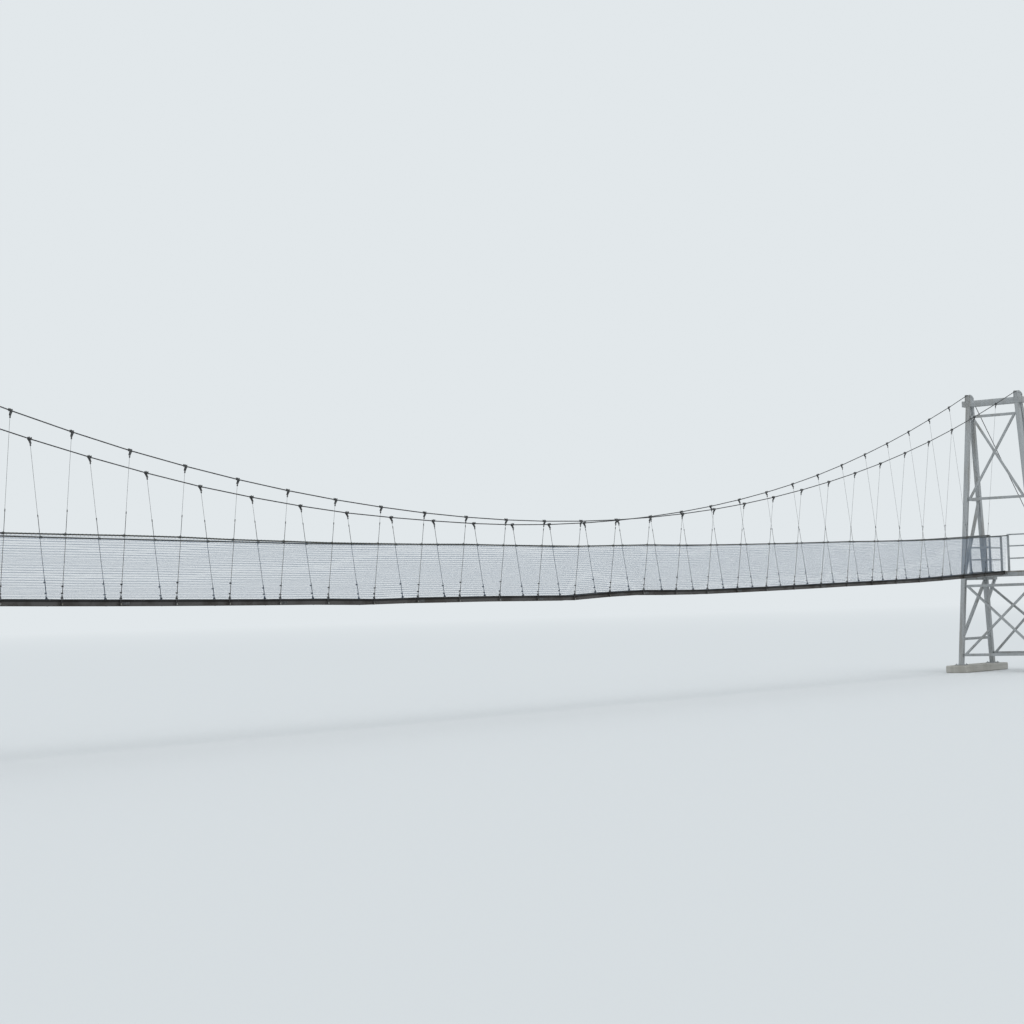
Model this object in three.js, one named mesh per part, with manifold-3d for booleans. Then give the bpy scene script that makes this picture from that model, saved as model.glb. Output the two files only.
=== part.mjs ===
// Rope suspension footbridge, as a 1:2 scale model.
//
// Two main cables run from a concrete anchor block up over a steel trestle tower, hang across
// the span, and go over the other tower down to its anchor block. Thin hangers spread in a V
// from the cables to a narrow walkway made of rigid sections. A hand rope and a side net run
// along the hangers on each side, and a landing with guard rails closes each end.
//
// X runs along the bridge, Y across it and Z up, with the origin on the ground under mid-span.
// "near" is the -Y side and "far" the +Y side, "left" is the -X end and "right" the +X end.

import * as THREE from 'three';
import { mergeVertices } from 'three/addons/utils/BufferGeometryUtils.js';
import Module from 'manifold-3d';

const wasm = await Module();
wasm.setup();

// Scale: driving dimensions are written in real metres and used in model millimetres
const MODEL_SCALE = 1 / 2;
const metres = (real) => real * 1000 * MODEL_SCALE;
const GAP = 0.3;

const SIDES = { near: -1, far: 1 };
const ENDS = { left: -1, right: 1 };

// Span and curves
const BAY = metres(1.5);
const BAYS_TO_TOWER = 17;
const HALF_SPAN = BAY * BAYS_TO_TOWER;
const DECK_HEIGHT = metres(3.0);
const DECK_RISE = metres(0.43);
const CABLE_OVER_DECK = metres(1.84);
const CABLE_SAG = metres(4.683);
const CABLE_HALF_WIDTH_MIDDLE = metres(0.509);
const CABLE_HALF_WIDTH_TOWER = metres(0.908);
const FOOT_HALF_WIDTH = metres(0.234);
const HAND_ROPE_HEIGHT = metres(1.213);

// The real bridge hangs a little unevenly: the far cable droops to the left, each hand rope is
// tied a little higher or lower from hanger to hanger, and the walkway bends at some of them.
// Lifts and bends are listed by hanger, counted from mid-span, and are real metres.
const CABLE_LIFTS = new Map([
  [SIDES.near, [
    [-17, 0], [-9, -0.035], [-4, 0], [4, 0], [8, -0.01], [11, -0.03], [13, -0.03], [17, 0],
  ]],
  [SIDES.far, [
    [-17, 0], [-7, -0.105], [-4, -0.08], [-3, -0.055], [-2, -0.04], [0, -0.04], [4, -0.02],
    [10, 0], [12, 0.025], [15, 0.035], [17, 0],
  ]],
]);
const HAND_ROPE_LIFTS = new Map([
  [SIDES.near, [
    [-17, -0.02], [-9, 0.08], [-8, 0.08], [-7, 0.055], [-6, 0.045], [-5, 0.03], [-4, 0.05],
    [-3, 0.03], [-2, 0.04], [-1, 0.025], [1, 0.035], [2, -0.005], [3, -0.015], [5, 0.015],
    [10, 0.02], [17, -0.02],
  ]],
  [SIDES.far, [
    [-17, 0.015], [-8, 0.055], [-6, 0.055], [-5, 0.045], [-4, 0.075], [-3, 0.065], [-1, 0.07],
    [1, 0.065], [2, 0.015], [3, 0.005], [4, 0.035], [10, 0.035], [17, 0.015],
  ]],
]);
const WALKWAY_BENDS = new Map([
  [-4, -0.02], [0, -0.015], [1, -0.03], [2, 0.025], [3, 0.05], [4, 0.02],
  [11, -0.01], [12, -0.02], [13, -0.03], [14, -0.03], [15, -0.02], [16, -0.01],
]);

// Ropes and hangers
const CABLE_DIAMETER = metres(0.026);
const ROPE_SIDES = 8;
const HANGER_WIDTH = metres(0.012);
const HANGER_FOOT_GAP = 0.8;
const CLAMP_WIDTH = metres(0.06);
const CLAMP_DEPTH = metres(0.05);
const CLAMP_ABOVE = metres(0.035);
const CLAMP_BELOW = metres(0.13);
const HAND_ROPE_DIAMETER = metres(0.034);

// Side nets
const NET_STATIONS = [-BAYS_TO_TOWER, -6, 6, BAYS_TO_TOWER];
const NET_ROWS = 4;
const NET_STRAND = metres(0.016);
const NET_THICKNESS = metres(0.008);

// Walkway sections
const DECK_JOINTS = [-BAYS_TO_TOWER, -15, -12, -9, -6, -3, 0, 3, 6, 9, 12, 15, BAYS_TO_TOWER];
const BOARD_HALF_WIDTH = metres(0.21);
const BOARD_THICKNESS = metres(0.03);
const RAIL_WIDTH = metres(0.035);
const RAIL_DEPTH = metres(0.085);
const RAIL_INSET = metres(0.005);
const CROSSBEAM_HALF_LENGTH = metres(0.262);
const CROSSBEAM_WIDTH = metres(0.05);
const CROSSBEAM_TOP = metres(0.058);
const CROSSBEAM_BOTTOM = metres(0.108);
const SECTION_DEPTH = BOARD_THICKNESS + RAIL_DEPTH;

// Saddles and backstays
const SADDLE_RADIUS = metres(0.35);
const SADDLE_WIDTH = metres(0.12);
const SADDLE_STEPS = 5;
const CABLE_END_ANGLE = Math.atan((2 * CABLE_SAG) / HALF_SPAN);
const BACKSTAY_ANGLE = Math.PI / 4;
const TURNBUCKLE_WIDTH = metres(0.08);
const TURNBUCKLE_LENGTH = metres(0.75);
const TURNBUCKLE_FROM_END = metres(0.35);

// Towers
const SADDLE_BEAM_DEPTH = metres(0.2);
const SADDLE_BEAM_WIDTH = metres(0.34);
const SADDLE_BEAM_OVERHANG = metres(0.22);
const SADDLE_HEIGHT = metres(0.2);
const LEG_SPLAY = 0.075;
const REAR_LEG_TOP = metres(0.18);
const REAR_LEG_RAKE = 0.24;
const LEG_WIDTH = metres(0.15);
const TIE_WIDTH = metres(0.09);
const LOWER_TIE_HEIGHT = metres(0.9);
const KNEE_BELOW_ARM = metres(0.8);
const BRACE_WIDTH = metres(0.07);
const BRACE_INSET = metres(0.14);
const BRACE_FOOT_HEIGHT = metres(0.35);
const BRACE_BELOW_JOISTS = metres(0.3);
const BASE_PLATE = metres(0.34);
const BASE_PLATE_THICKNESS = metres(0.03);
const PORTAL_CLEARANCE = metres(2.5);
const PORTAL_BELOW_BEAM = metres(0.35);

// Landings and their guard rails
const LANDING_LENGTH = metres(2.4);
const LANDING_HALF_WIDTH = metres(1.15);
const LANDING_BOARD = metres(0.05);
const JOIST_DEPTH = metres(0.12);
const JOIST_WIDTH = metres(0.08);
const JOIST_HALF_LENGTH = metres(1.4);
const JOIST_PLACES = [0.3, 1.15, 1.95, 2.3].map(metres);
const LEDGE_LENGTH = metres(0.1);
const LEDGE_HALF_WIDTH = metres(0.35);
const POST_WIDTH = metres(0.06);
const RAIL_BAR = metres(0.045);
const GUARD_HEIGHT = metres(1.25);
const GUARD_BARS = [0.42, 0.84].map(metres);
const GUARD_HALF_WIDTH = metres(1.09);

// Concrete
const FOOTING_HEIGHT = metres(0.25);
const FOOTING_HALF_WIDTH = metres(0.4);
const FOOTING_MARGIN = metres(0.4);
const ANCHOR_FRONT = metres(0.35);
const ANCHOR_TOP = metres(1.25);
const ANCHOR_LENGTH = metres(2.2);
const ANCHOR_HALF_WIDTH = metres(1.5);

// Materials
const material = (color, roughness, metalness) =>
  new THREE.MeshStandardMaterial({ color, roughness, metalness });
const wireRope = material(0x3b3d3f, 0.55, 0.8);
const handRope = material(0x2e2c29, 0.85, 0.1);
const netting = material(0x55585a, 0.8, 0.2);
const walkway = material(0x6b665e, 0.6, 0.6);
const galvanised = material(0x8a8f92, 0.5, 0.8);
const decking = material(0x77736b, 0.6, 0.5);
const concrete = material(0xa7a49b, 0.9, 0);

// Solids
function solid(geometry) {
  const plain = geometry.clone();
  plain.deleteAttribute('normal');
  plain.deleteAttribute('uv');
  const merged = mergeVertices(plain);
  return new wasm.Manifold(new wasm.Mesh({
    numProp: 3,
    vertProperties: merged.attributes.position.array,
    triVerts: new Uint32Array(merged.index.array),
  }));
}

function fused(geometries) {
  return geometries.map(solid).reduce((whole, piece) => whole.add(piece));
}

function without(whole, geometries) {
  return geometries.map(solid).reduce((rest, piece) => rest.subtract(piece), whole);
}

function named(name, manifold, finish) {
  const { vertProperties, triVerts } = manifold.getMesh();
  const geometry = new THREE.BufferGeometry();
  geometry.setAttribute('position', new THREE.BufferAttribute(vertProperties, 3));
  geometry.setIndex(new THREE.BufferAttribute(triVerts, 1));
  geometry.computeVertexNormals();
  const mesh = new THREE.Mesh(geometry, finish);
  mesh.name = name;
  return mesh;
}

// A box between two corners, given in any order
function box(x0, x1, y0, y1, z0, z1) {
  const geometry = new THREE.BoxGeometry(Math.abs(x1 - x0), Math.abs(y1 - y0), Math.abs(z1 - z0));
  return geometry.translate((x0 + x1) / 2, (y0 + y1) / 2, (z0 + z1) / 2);
}

// A straight bar between two points, with one pair of its sides turned towards "facing"
function bar(from, to, width, depth, facing) {
  const along = to.clone().sub(from);
  const geometry = new THREE.BoxGeometry(width, depth, along.length());
  const across = facing.clone().cross(along).normalize();
  const outward = along.clone().cross(across).normalize();
  const place = new THREE.Matrix4().makeBasis(across, outward, along.normalize());
  place.setPosition(from.clone().add(to).multiplyScalar(0.5));
  return geometry.applyMatrix4(place);
}

// A route that passes exactly through its points, one step for each stretch between them
class Route extends THREE.Curve {
  constructor(points) {
    super();
    this.points = points;
  }

  getPoint(t) {
    const last = this.points.length - 1;
    const place = Math.min(Math.max(t, 0), 1) * last;
    const start = Math.min(Math.floor(place), last - 1);
    return this.points[start].clone().lerp(this.points[start + 1], place - start);
  }

  getPointAt(t) {
    return this.getPoint(t);
  }

  getTangentAt(t) {
    return this.getTangent(t);
  }
}

function rope(points, diameter) {
  const corner = (i) => {
    const turn = (2 * Math.PI * (i + 0.5)) / ROPE_SIDES;
    return new THREE.Vector2(Math.cos(turn), Math.sin(turn)).multiplyScalar(diameter / 2);
  };
  const section = new THREE.Shape(Array.from({ length: ROPE_SIDES }, (_, i) => corner(i)));
  return new THREE.ExtrudeGeometry(section, {
    steps: points.length - 1,
    bevelEnabled: false,
    extrudePath: new Route(points),
  });
}

// Curves of the bridge
const spanShare = (x) => (x / HALF_SPAN) ** 2;
const deckCurve = (x) => DECK_HEIGHT + DECK_RISE * spanShare(x);
const cableCurve = (x) => DECK_HEIGHT + CABLE_OVER_DECK + CABLE_SAG * spanShare(x);
const cableHalfWidth = (x) =>
  CABLE_HALF_WIDTH_MIDDLE + (CABLE_HALF_WIDTH_TOWER - CABLE_HALF_WIDTH_MIDDLE) * spanShare(x);

// The lift at a place along the bridge, from a list of [hanger, lift] stops
function liftAt(stops, x) {
  const station = THREE.MathUtils.clamp(x / BAY, -BAYS_TO_TOWER, BAYS_TO_TOWER);
  const next = Math.max(1, stops.findIndex(([stop]) => stop >= station));
  const [[start, low], [end, high]] = [stops[next - 1], stops[next]];
  return metres(THREE.MathUtils.lerp(low, high, (station - start) / (end - start)));
}

const cableLevel = (side, x) => cableCurve(x) + liftAt(CABLE_LIFTS.get(side), x);

// The walkway is straight between hangers
const stationLevel = (station) =>
  deckCurve(station * BAY) + metres(WALKWAY_BENDS.get(station) ?? 0);

function deckLevel(x) {
  const station = THREE.MathUtils.clamp(Math.floor(x / BAY), -BAYS_TO_TOWER, BAYS_TO_TOWER - 1);
  const share = x / BAY - station;
  return THREE.MathUtils.lerp(stationLevel(station), stationLevel(station + 1), share);
}

const sideLean = (side, x) =>
  Math.atan2(cableHalfWidth(x) - FOOT_HALF_WIDTH, cableLevel(side, x) - deckLevel(x));

// A point of one side, at a height above the deck and set in from the plane of the hangers
function sidePoint(side, x, height, inset = 0) {
  const lean = sideLean(side, x);
  const y = FOOT_HALF_WIDTH + height * Math.tan(lean) - inset * Math.cos(lean);
  return new THREE.Vector3(x, side * y, deckLevel(x) + height + inset * Math.sin(lean));
}

function cablePoint(side, x) {
  return new THREE.Vector3(x, side * cableHalfWidth(x), cableLevel(side, x));
}

const hangerStations = Array.from(
  { length: 2 * BAYS_TO_TOWER - 1 },
  (_, i) => (i + 1 - BAYS_TO_TOWER) * BAY,
);

// The cable's arc over a tower, for a rope or a saddle face of this radius
const saddleStart = HALF_SPAN - SADDLE_RADIUS * Math.sin(CABLE_END_ANGLE);
const saddleCentreZ = cableCurve(saddleStart) - SADDLE_RADIUS * Math.cos(CABLE_END_ANGLE);

function saddleArc(end, radius) {
  return Array.from({ length: SADDLE_STEPS + 1 }, (_, i) => {
    const turn = THREE.MathUtils.lerp(-CABLE_END_ANGLE, BACKSTAY_ANGLE, i / SADDLE_STEPS);
    return new THREE.Vector2(
      end * (HALF_SPAN + radius * Math.sin(turn)),
      saddleCentreZ + radius * Math.cos(turn),
    );
  });
}

// The backstay ends at the middle of the anchor block's sloping face
const ANCHOR_SLOPE = ANCHOR_TOP - ANCHOR_FRONT;
const anchorSeatZ = ANCHOR_FRONT + ANCHOR_SLOPE / 2;
const stayTop = saddleArc(1, SADDLE_RADIUS)[SADDLE_STEPS];
const stayRun = (stayTop.y - anchorSeatZ) / Math.tan(BACKSTAY_ANGLE);
const anchorSeatX = stayTop.x + stayRun;
const anchorFrontX = anchorSeatX - ANCHOR_SLOPE / 2;
const stayEndShift = GAP / Math.SQRT2;

function mainCableRoute(side) {
  const half = (end) => {
    const y = side * CABLE_HALF_WIDTH_TOWER;
    const arc = saddleArc(end, SADDLE_RADIUS).map((p) => new THREE.Vector3(p.x, y, p.y));
    const foot = new THREE.Vector3(
      end * (anchorSeatX - stayEndShift),
      y,
      anchorSeatZ + stayEndShift,
    );
    return [...arc, foot];
  };
  const span = hangerStations.map((x) => cablePoint(side, x));
  return [...half(ENDS.left).reverse(), ...span, ...half(ENDS.right)];
}

// One main cable from anchor to anchor, with its turnbuckles, and its clamps and the hangers
// that they hold
function mainCable(side) {
  const facing = new THREE.Vector3(0, side, 0);
  const route = mainCableRoute(side);
  const pieces = [rope(route, CABLE_DIAMETER)];
  for (const x of hangerStations) {
    const top = cablePoint(side, x);
    const foot = sidePoint(side, x, HANGER_FOOT_GAP - CROSSBEAM_TOP);
    const down = foot.clone().sub(top).normalize();
    const clampTop = top.clone().addScaledVector(down, -CLAMP_ABOVE);
    const clampFoot = top.clone().addScaledVector(down, CLAMP_BELOW);
    pieces.push(bar(clampTop, clampFoot, CLAMP_WIDTH, CLAMP_DEPTH, facing));
    pieces.push(bar(top, foot, HANGER_WIDTH, HANGER_WIDTH, facing));
  }
  for (const [foot, next] of [[route[0], route[1]], [route.at(-1), route.at(-2)]]) {
    const up = next.clone().sub(foot).normalize();
    const start = foot.clone().addScaledVector(up, TURNBUCKLE_FROM_END);
    const end = start.clone().addScaledVector(up, TURNBUCKLE_LENGTH);
    pieces.push(bar(start, end, TURNBUCKLE_WIDTH, TURNBUCKLE_WIDTH, facing));
  }
  return fused(pieces);
}

// The hand rope lies against the inner face of the hangers
const HAND_ROPE_INSET = HAND_ROPE_DIAMETER / 2 + HANGER_WIDTH / 2 + GAP;

const handRopeHeight = (side, x) => HAND_ROPE_HEIGHT + liftAt(HAND_ROPE_LIFTS.get(side), x);

function handRopeSolid(side) {
  const stations = [GAP - HALF_SPAN, ...hangerStations, HALF_SPAN - GAP];
  const points = stations.map(
    (x) => sidePoint(side, x, handRopeHeight(side, x), HAND_ROPE_INSET),
  );
  return solid(rope(points, HAND_ROPE_DIAMETER));
}

// A flat lattice bent onto a surface: the gaps between lines 0 and 1, 2 and 3 and so on are
// strands, and where a strand gap crosses no other strand gap the lattice is open
function lattice(across, up, surface) {
  const positions = [];
  const index = [];
  const columns = across.length;
  const rows = up.length;
  for (const outer of [0, 1]) {
    for (const x of across) {
      for (const height of up) positions.push(...surface(x, height, outer).toArray());
    }
  }
  const vertex = (i, j, outer) => (outer * columns + i) * rows + j;
  const filled = (i, j) =>
    i >= 0 && j >= 0 && i < columns - 1 && j < rows - 1 && (i % 2 === 0 || j % 2 === 0);
  const quad = (a, b, c, d) => index.push(a, b, c, a, c, d);
  const wall = (i0, j0, i1, j1) =>
    quad(vertex(i0, j0, 0), vertex(i1, j1, 0), vertex(i1, j1, 1), vertex(i0, j0, 1));
  for (let i = 0; i < columns - 1; i += 1) {
    for (let j = 0; j < rows - 1; j += 1) {
      if (!filled(i, j)) continue;
      quad(vertex(i, j, 1), vertex(i + 1, j, 1), vertex(i + 1, j + 1, 1), vertex(i, j + 1, 1));
      quad(vertex(i, j, 0), vertex(i, j + 1, 0), vertex(i + 1, j + 1, 0), vertex(i + 1, j, 0));
      if (!filled(i, j - 1)) wall(i, j, i + 1, j);
      if (!filled(i, j + 1)) wall(i + 1, j + 1, i, j + 1);
      if (!filled(i - 1, j)) wall(i, j + 1, i, j);
      if (!filled(i + 1, j)) wall(i + 1, j, i + 1, j + 1);
    }
  }
  const geometry = new THREE.BufferGeometry();
  geometry.setAttribute('position', new THREE.Float32BufferAttribute(positions, 3));
  geometry.setIndex(index);
  return geometry;
}

// A net panel between two stations, from the walkway's edge up to the hand rope. Its rows are
// laid out at mid-span and stretched with the height of the rope.
function netPanel(side, firstStation, lastStation) {
  const topAt = (x) => handRopeHeight(side, x) - HAND_ROPE_DIAMETER / 2 - GAP;
  const top = topAt(0);
  const bottom = GAP;
  const lineUp = (i) => {
    const low = THREE.MathUtils.lerp(bottom, top - NET_STRAND, i / NET_ROWS);
    return [low, low + NET_STRAND];
  };
  const start = firstStation * BAY + GAP;
  const end = lastStation * BAY - GAP;
  const across = [start, start + NET_STRAND];
  for (let station = firstStation + 1; station < lastStation; station += 1) {
    across.push(station * BAY - NET_STRAND / 2, station * BAY + NET_STRAND / 2);
  }
  across.push(end - NET_STRAND, end);
  const up = Array.from({ length: NET_ROWS + 1 }, (_, i) => lineUp(i)).flat();
  const surface = (x, height, outer) => {
    const depth = (0.5 - outer) * NET_THICKNESS * -side;
    return sidePoint(side, x, (height * topAt(x)) / top, HAND_ROPE_INSET + depth);
  };
  return solid(lattice(across, up, surface));
}

// A beam of the walkway with a rectangular section, through these places along the bridge
function walkwayBeam(places, y0, y1, z0, z1) {
  const corners = [[y0, z0], [y1, z0], [y1, z1], [y0, z1]];
  const positions = [];
  for (const x of places) {
    for (const [y, z] of corners) positions.push(x, y, deckLevel(x) + z);
  }
  const index = [];
  const quad = (a, b, c, d) => index.push(a, b, c, a, c, d);
  const last = (places.length - 1) * 4;
  for (let start = 0; start < last; start += 4) {
    for (let i = 0; i < 4; i += 1) {
      const next = (i + 1) % 4;
      quad(start + i, start + next, start + 4 + next, start + 4 + i);
    }
  }
  quad(3, 2, 1, 0);
  quad(last, last + 1, last + 2, last + 3);
  const geometry = new THREE.BufferGeometry();
  geometry.setAttribute('position', new THREE.Float32BufferAttribute(positions, 3));
  geometry.setIndex(index);
  return geometry;
}

// One section of the walkway: boards on two side rails, with crossbeams for the hangers. Where
// two sections meet, the one nearer a tower holds the crossbeam and the other is cut back for it.
function deckSection(firstStation, lastStation) {
  const railOuter = BOARD_HALF_WIDTH - RAIL_INSET;
  const railInner = railOuter - RAIL_WIDTH;
  const railTop = -BOARD_THICKNESS / 2;
  const endReach = railInner + RAIL_WIDTH / 2;
  const endFoot = RAIL_INSET - SECTION_DEPTH;
  const cutBack = CROSSBEAM_WIDTH / 2 + GAP;
  const holdsFirst = firstStation > 0;
  const holdsLast = lastStation <= 0;
  const atTower = (station) => Math.abs(station) === BAYS_TO_TOWER;
  const inner = [];
  for (let station = firstStation + 1; station < lastStation; station += 1) {
    inner.push(station * BAY);
  }
  const first = firstStation * BAY;
  const last = lastStation * BAY;
  const boardPlaces = [first + GAP / 2, ...inner, last - GAP / 2];
  const railStart = first + (holdsFirst || atTower(firstStation) ? GAP / 2 : cutBack);
  const railEnd = last - (holdsLast || atTower(lastStation) ? GAP / 2 : cutBack);
  const railPlaces = [railStart, ...inner, railEnd];
  const pieces = [
    walkwayBeam(boardPlaces, -BOARD_HALF_WIDTH, BOARD_HALF_WIDTH, -BOARD_THICKNESS, 0),
    walkwayBeam(railPlaces, railInner, railOuter, -SECTION_DEPTH, railTop),
    walkwayBeam(railPlaces, -railOuter, -railInner, -SECTION_DEPTH, railTop),
    walkwayBeam([railStart, railStart + RAIL_WIDTH], -endReach, endReach, endFoot, railTop),
    walkwayBeam([railEnd - RAIL_WIDTH, railEnd], -endReach, endReach, endFoot, railTop),
  ];
  const beamPlaces = [...inner];
  if (holdsFirst) beamPlaces.push(first);
  if (holdsLast) beamPlaces.push(last);
  for (const x of beamPlaces) {
    const level = deckLevel(x);
    pieces.push(box(
      x - CROSSBEAM_WIDTH / 2, x + CROSSBEAM_WIDTH / 2,
      -CROSSBEAM_HALF_LENGTH, CROSSBEAM_HALF_LENGTH,
      level - CROSSBEAM_BOTTOM, level - CROSSBEAM_TOP,
    ));
  }
  return fused(pieces);
}

// Tower levels
const LANDING_TOP = deckCurve(HALF_SPAN);
const JOIST_TOP = LANDING_TOP - LANDING_BOARD;
const JOIST_BOTTOM = JOIST_TOP - JOIST_DEPTH;
const BEAM_TOP = saddleCentreZ + SADDLE_RADIUS - SADDLE_HEIGHT;
const BEAM_BOTTOM = BEAM_TOP - SADDLE_BEAM_DEPTH;
const LEG_TOP = BEAM_BOTTOM - GAP;
const LEG_FOOT = FOOTING_HEIGHT + GAP;
const PORTAL_BOTTOM = LANDING_TOP + PORTAL_CLEARANCE;

// Centre lines of the legs
const legY = (z) => CABLE_HALF_WIDTH_TOWER + LEG_SPLAY * (LEG_TOP - z);
const rearLegX = (z) => REAR_LEG_TOP + REAR_LEG_RAKE * (LEG_TOP - z);
const towerPoint = (end, side, x, z) =>
  new THREE.Vector3(end * (HALF_SPAN + x), side * legY(z), z);
const frontLeg = (end, side, z) => towerPoint(end, side, 0, z);
const rearLeg = (end, side, z) => towerPoint(end, side, rearLegX(z), z);

// The legs are made a little too long and then cut level
const LEG_OVERRUN = metres(0.3);

function leg(line, end, side, width) {
  const low = line(end, side, LEG_FOOT - LEG_OVERRUN);
  const high = line(end, side, LEG_TOP + LEG_OVERRUN);
  return bar(low, high, width, width, new THREE.Vector3(0, side, 0));
}

// One side frame of a tower: a splayed front leg and a raking rear leg on base plates, tied
// together, with an arm that carries the landing
function trestle(end, side) {
  const facing = new THREE.Vector3(0, side, 0);
  const armZ = JOIST_BOTTOM - GAP - TIE_WIDTH * (0.5 + LEG_SPLAY / 2);
  const tie = (x0, z0, x1, z1) =>
    bar(towerPoint(end, side, x0, z0), towerPoint(end, side, x1, z1), TIE_WIDTH, TIE_WIDTH, facing);
  const upperZ = PORTAL_BOTTOM;
  const lowerZ = LEG_FOOT + LOWER_TIE_HEIGHT;
  const kneeZ = armZ - KNEE_BELOW_ARM;
  const members = [
    leg(frontLeg, end, side, LEG_WIDTH),
    leg(rearLeg, end, side, LEG_WIDTH),
    tie(0, armZ, LANDING_LENGTH, armZ),
    tie(rearLegX(kneeZ), kneeZ, LANDING_LENGTH - TIE_WIDTH, armZ),
    tie(0, upperZ, rearLegX(upperZ), upperZ),
    tie(0, lowerZ, rearLegX(lowerZ), lowerZ),
    tie(0, lowerZ, rearLegX(armZ), armZ),
    tie(0, armZ, rearLegX(upperZ), upperZ),
  ];
  const rest = frontLeg(end, side, LEG_FOOT);
  const reach = 2 * LANDING_LENGTH;
  const slab = (z0, z1) =>
    box(rest.x - reach, rest.x + reach, rest.y - reach, rest.y + reach, z0, z1);
  const cut = without(fused(members), [
    slab(LEG_FOOT - LEG_OVERRUN * 2, LEG_FOOT),
    slab(LEG_TOP, LEG_TOP + LEG_OVERRUN * 2),
  ]);
  const plates = [frontLeg, rearLeg].map((line) => {
    const foot = line(end, side, LEG_FOOT);
    const half = BASE_PLATE / 2;
    const top = LEG_FOOT + BASE_PLATE_THICKNESS;
    return box(foot.x - half, foot.x + half, foot.y - half, foot.y + half, LEG_FOOT, top);
  });
  return cut.add(fused(plates));
}

// A braced panel between the near and far legs of one tower. The diagonals meet the struts
// just inside the legs.
function crossBrace(line, end, lowZ, highZ) {
  const facing = new THREE.Vector3(1, 0, 0);
  const inner = (side, z) => {
    const point = line(end, side, z);
    return point.setY(point.y - side * BRACE_INSET);
  };
  const member = (from, to, width) => bar(from, to, width, BRACE_WIDTH, facing);
  const members = [
    member(line(end, -1, lowZ), line(end, 1, lowZ), TIE_WIDTH),
    member(line(end, -1, highZ), line(end, 1, highZ), TIE_WIDTH),
    member(inner(-1, lowZ), inner(1, highZ), BRACE_WIDTH),
    member(inner(1, lowZ), inner(-1, highZ), BRACE_WIDTH),
  ];
  const legs = [-1, 1].map((side) => leg(line, end, side, LEG_WIDTH + 2 * GAP));
  return without(fused(members), legs);
}

// The beam across a tower's head, with a rounded saddle under each cable
function saddleBeam(end) {
  const halfLength = CABLE_HALF_WIDTH_TOWER + SADDLE_BEAM_OVERHANG;
  const middle = end * (HALF_SPAN + REAR_LEG_TOP / 2);
  const halfWidth = SADDLE_BEAM_WIDTH / 2;
  const pieces = [
    box(middle - halfWidth, middle + halfWidth, -halfLength, halfLength, BEAM_BOTTOM, BEAM_TOP),
  ];
  const crown = saddleArc(end, SADDLE_RADIUS - CABLE_DIAMETER / 2 - GAP);
  const root = BEAM_TOP - SADDLE_BEAM_DEPTH / 2;
  const profile = new THREE.Shape([
    ...crown,
    new THREE.Vector2(crown[SADDLE_STEPS].x, root),
    new THREE.Vector2(crown[0].x, root),
  ]);
  for (const side of Object.values(SIDES)) {
    const saddle = new THREE.ExtrudeGeometry(profile, { depth: SADDLE_WIDTH, bevelEnabled: false });
    saddle.rotateX(Math.PI / 2);
    pieces.push(saddle.translate(0, side * CABLE_HALF_WIDTH_TOWER + SADDLE_WIDTH / 2, 0));
  }
  return fused(pieces);
}

// A landing: boards on joists, with a ledge under the end of the walkway
function landing(end) {
  const place = (x) => end * (HALF_SPAN + x);
  const ledgeTop = deckLevel(HALF_SPAN - LEDGE_LENGTH) - SECTION_DEPTH - GAP;
  const half = LANDING_HALF_WIDTH;
  const pieces = [
    box(place(GAP), place(LANDING_LENGTH), -half, half, JOIST_TOP, LANDING_TOP),
    box(place(GAP), place(JOIST_WIDTH), -half, half, JOIST_BOTTOM, JOIST_TOP),
    box(
      place(-LEDGE_LENGTH), place(JOIST_WIDTH), -LEDGE_HALF_WIDTH, LEDGE_HALF_WIDTH,
      JOIST_BOTTOM, ledgeTop,
    ),
  ];
  for (const x of JOIST_PLACES) {
    pieces.push(box(
      place(x - JOIST_WIDTH / 2), place(x + JOIST_WIDTH / 2),
      -JOIST_HALF_LENGTH, JOIST_HALF_LENGTH, JOIST_BOTTOM, JOIST_TOP,
    ));
  }
  return fused(pieces);
}

// A guard rail along one side of a landing, turned in at the front to a gate post where the
// hand rope and the net end
function guardRail(end, side) {
  const ropeHeight = handRopeHeight(side, end * HALF_SPAN);
  const gateY = Math.abs(sidePoint(side, HALF_SPAN, ropeHeight, HAND_ROPE_INSET).y);
  const frontX = GAP + POST_WIDTH / 2;
  const rearX = LANDING_LENGTH - POST_WIDTH / 2;
  const middleX = (frontX + rearX) / 2;
  const foot = LANDING_TOP + GAP;
  const top = LANDING_TOP + GUARD_HEIGHT;
  const upright = (x, y) => {
    const half = POST_WIDTH / 2;
    const centre = end * (HALF_SPAN + x);
    return box(centre - half, centre + half, side * (y - half), side * (y + half), foot, top);
  };
  const level = (x0, x1, y0, y1, z) => {
    const half = RAIL_BAR / 2;
    const ends = [end * (HALF_SPAN + x0 - half), end * (HALF_SPAN + x1 + half)];
    return box(...ends, side * (y0 - half), side * (y1 + half), z - half, z + half);
  };
  const pieces = [
    upright(frontX, gateY),
    upright(frontX, GUARD_HALF_WIDTH),
    upright(middleX, GUARD_HALF_WIDTH),
    upright(rearX, GUARD_HALF_WIDTH),
  ];
  for (const height of [...GUARD_BARS, GUARD_HEIGHT - RAIL_BAR / 2]) {
    pieces.push(level(frontX, rearX, GUARD_HALF_WIDTH, GUARD_HALF_WIDTH, LANDING_TOP + height));
    pieces.push(level(frontX, frontX, gateY, GUARD_HALF_WIDTH, LANDING_TOP + height));
  }
  return fused(pieces);
}

// A strip footing under the two legs of one side frame
function footing(end, side) {
  const y = legY(LEG_FOOT);
  return solid(box(
    end * (HALF_SPAN - FOOTING_MARGIN), end * (HALF_SPAN + rearLegX(LEG_FOOT) + FOOTING_MARGIN),
    side * (y - FOOTING_HALF_WIDTH), side * (y + FOOTING_HALF_WIDTH),
    0, FOOTING_HEIGHT,
  ));
}

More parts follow.
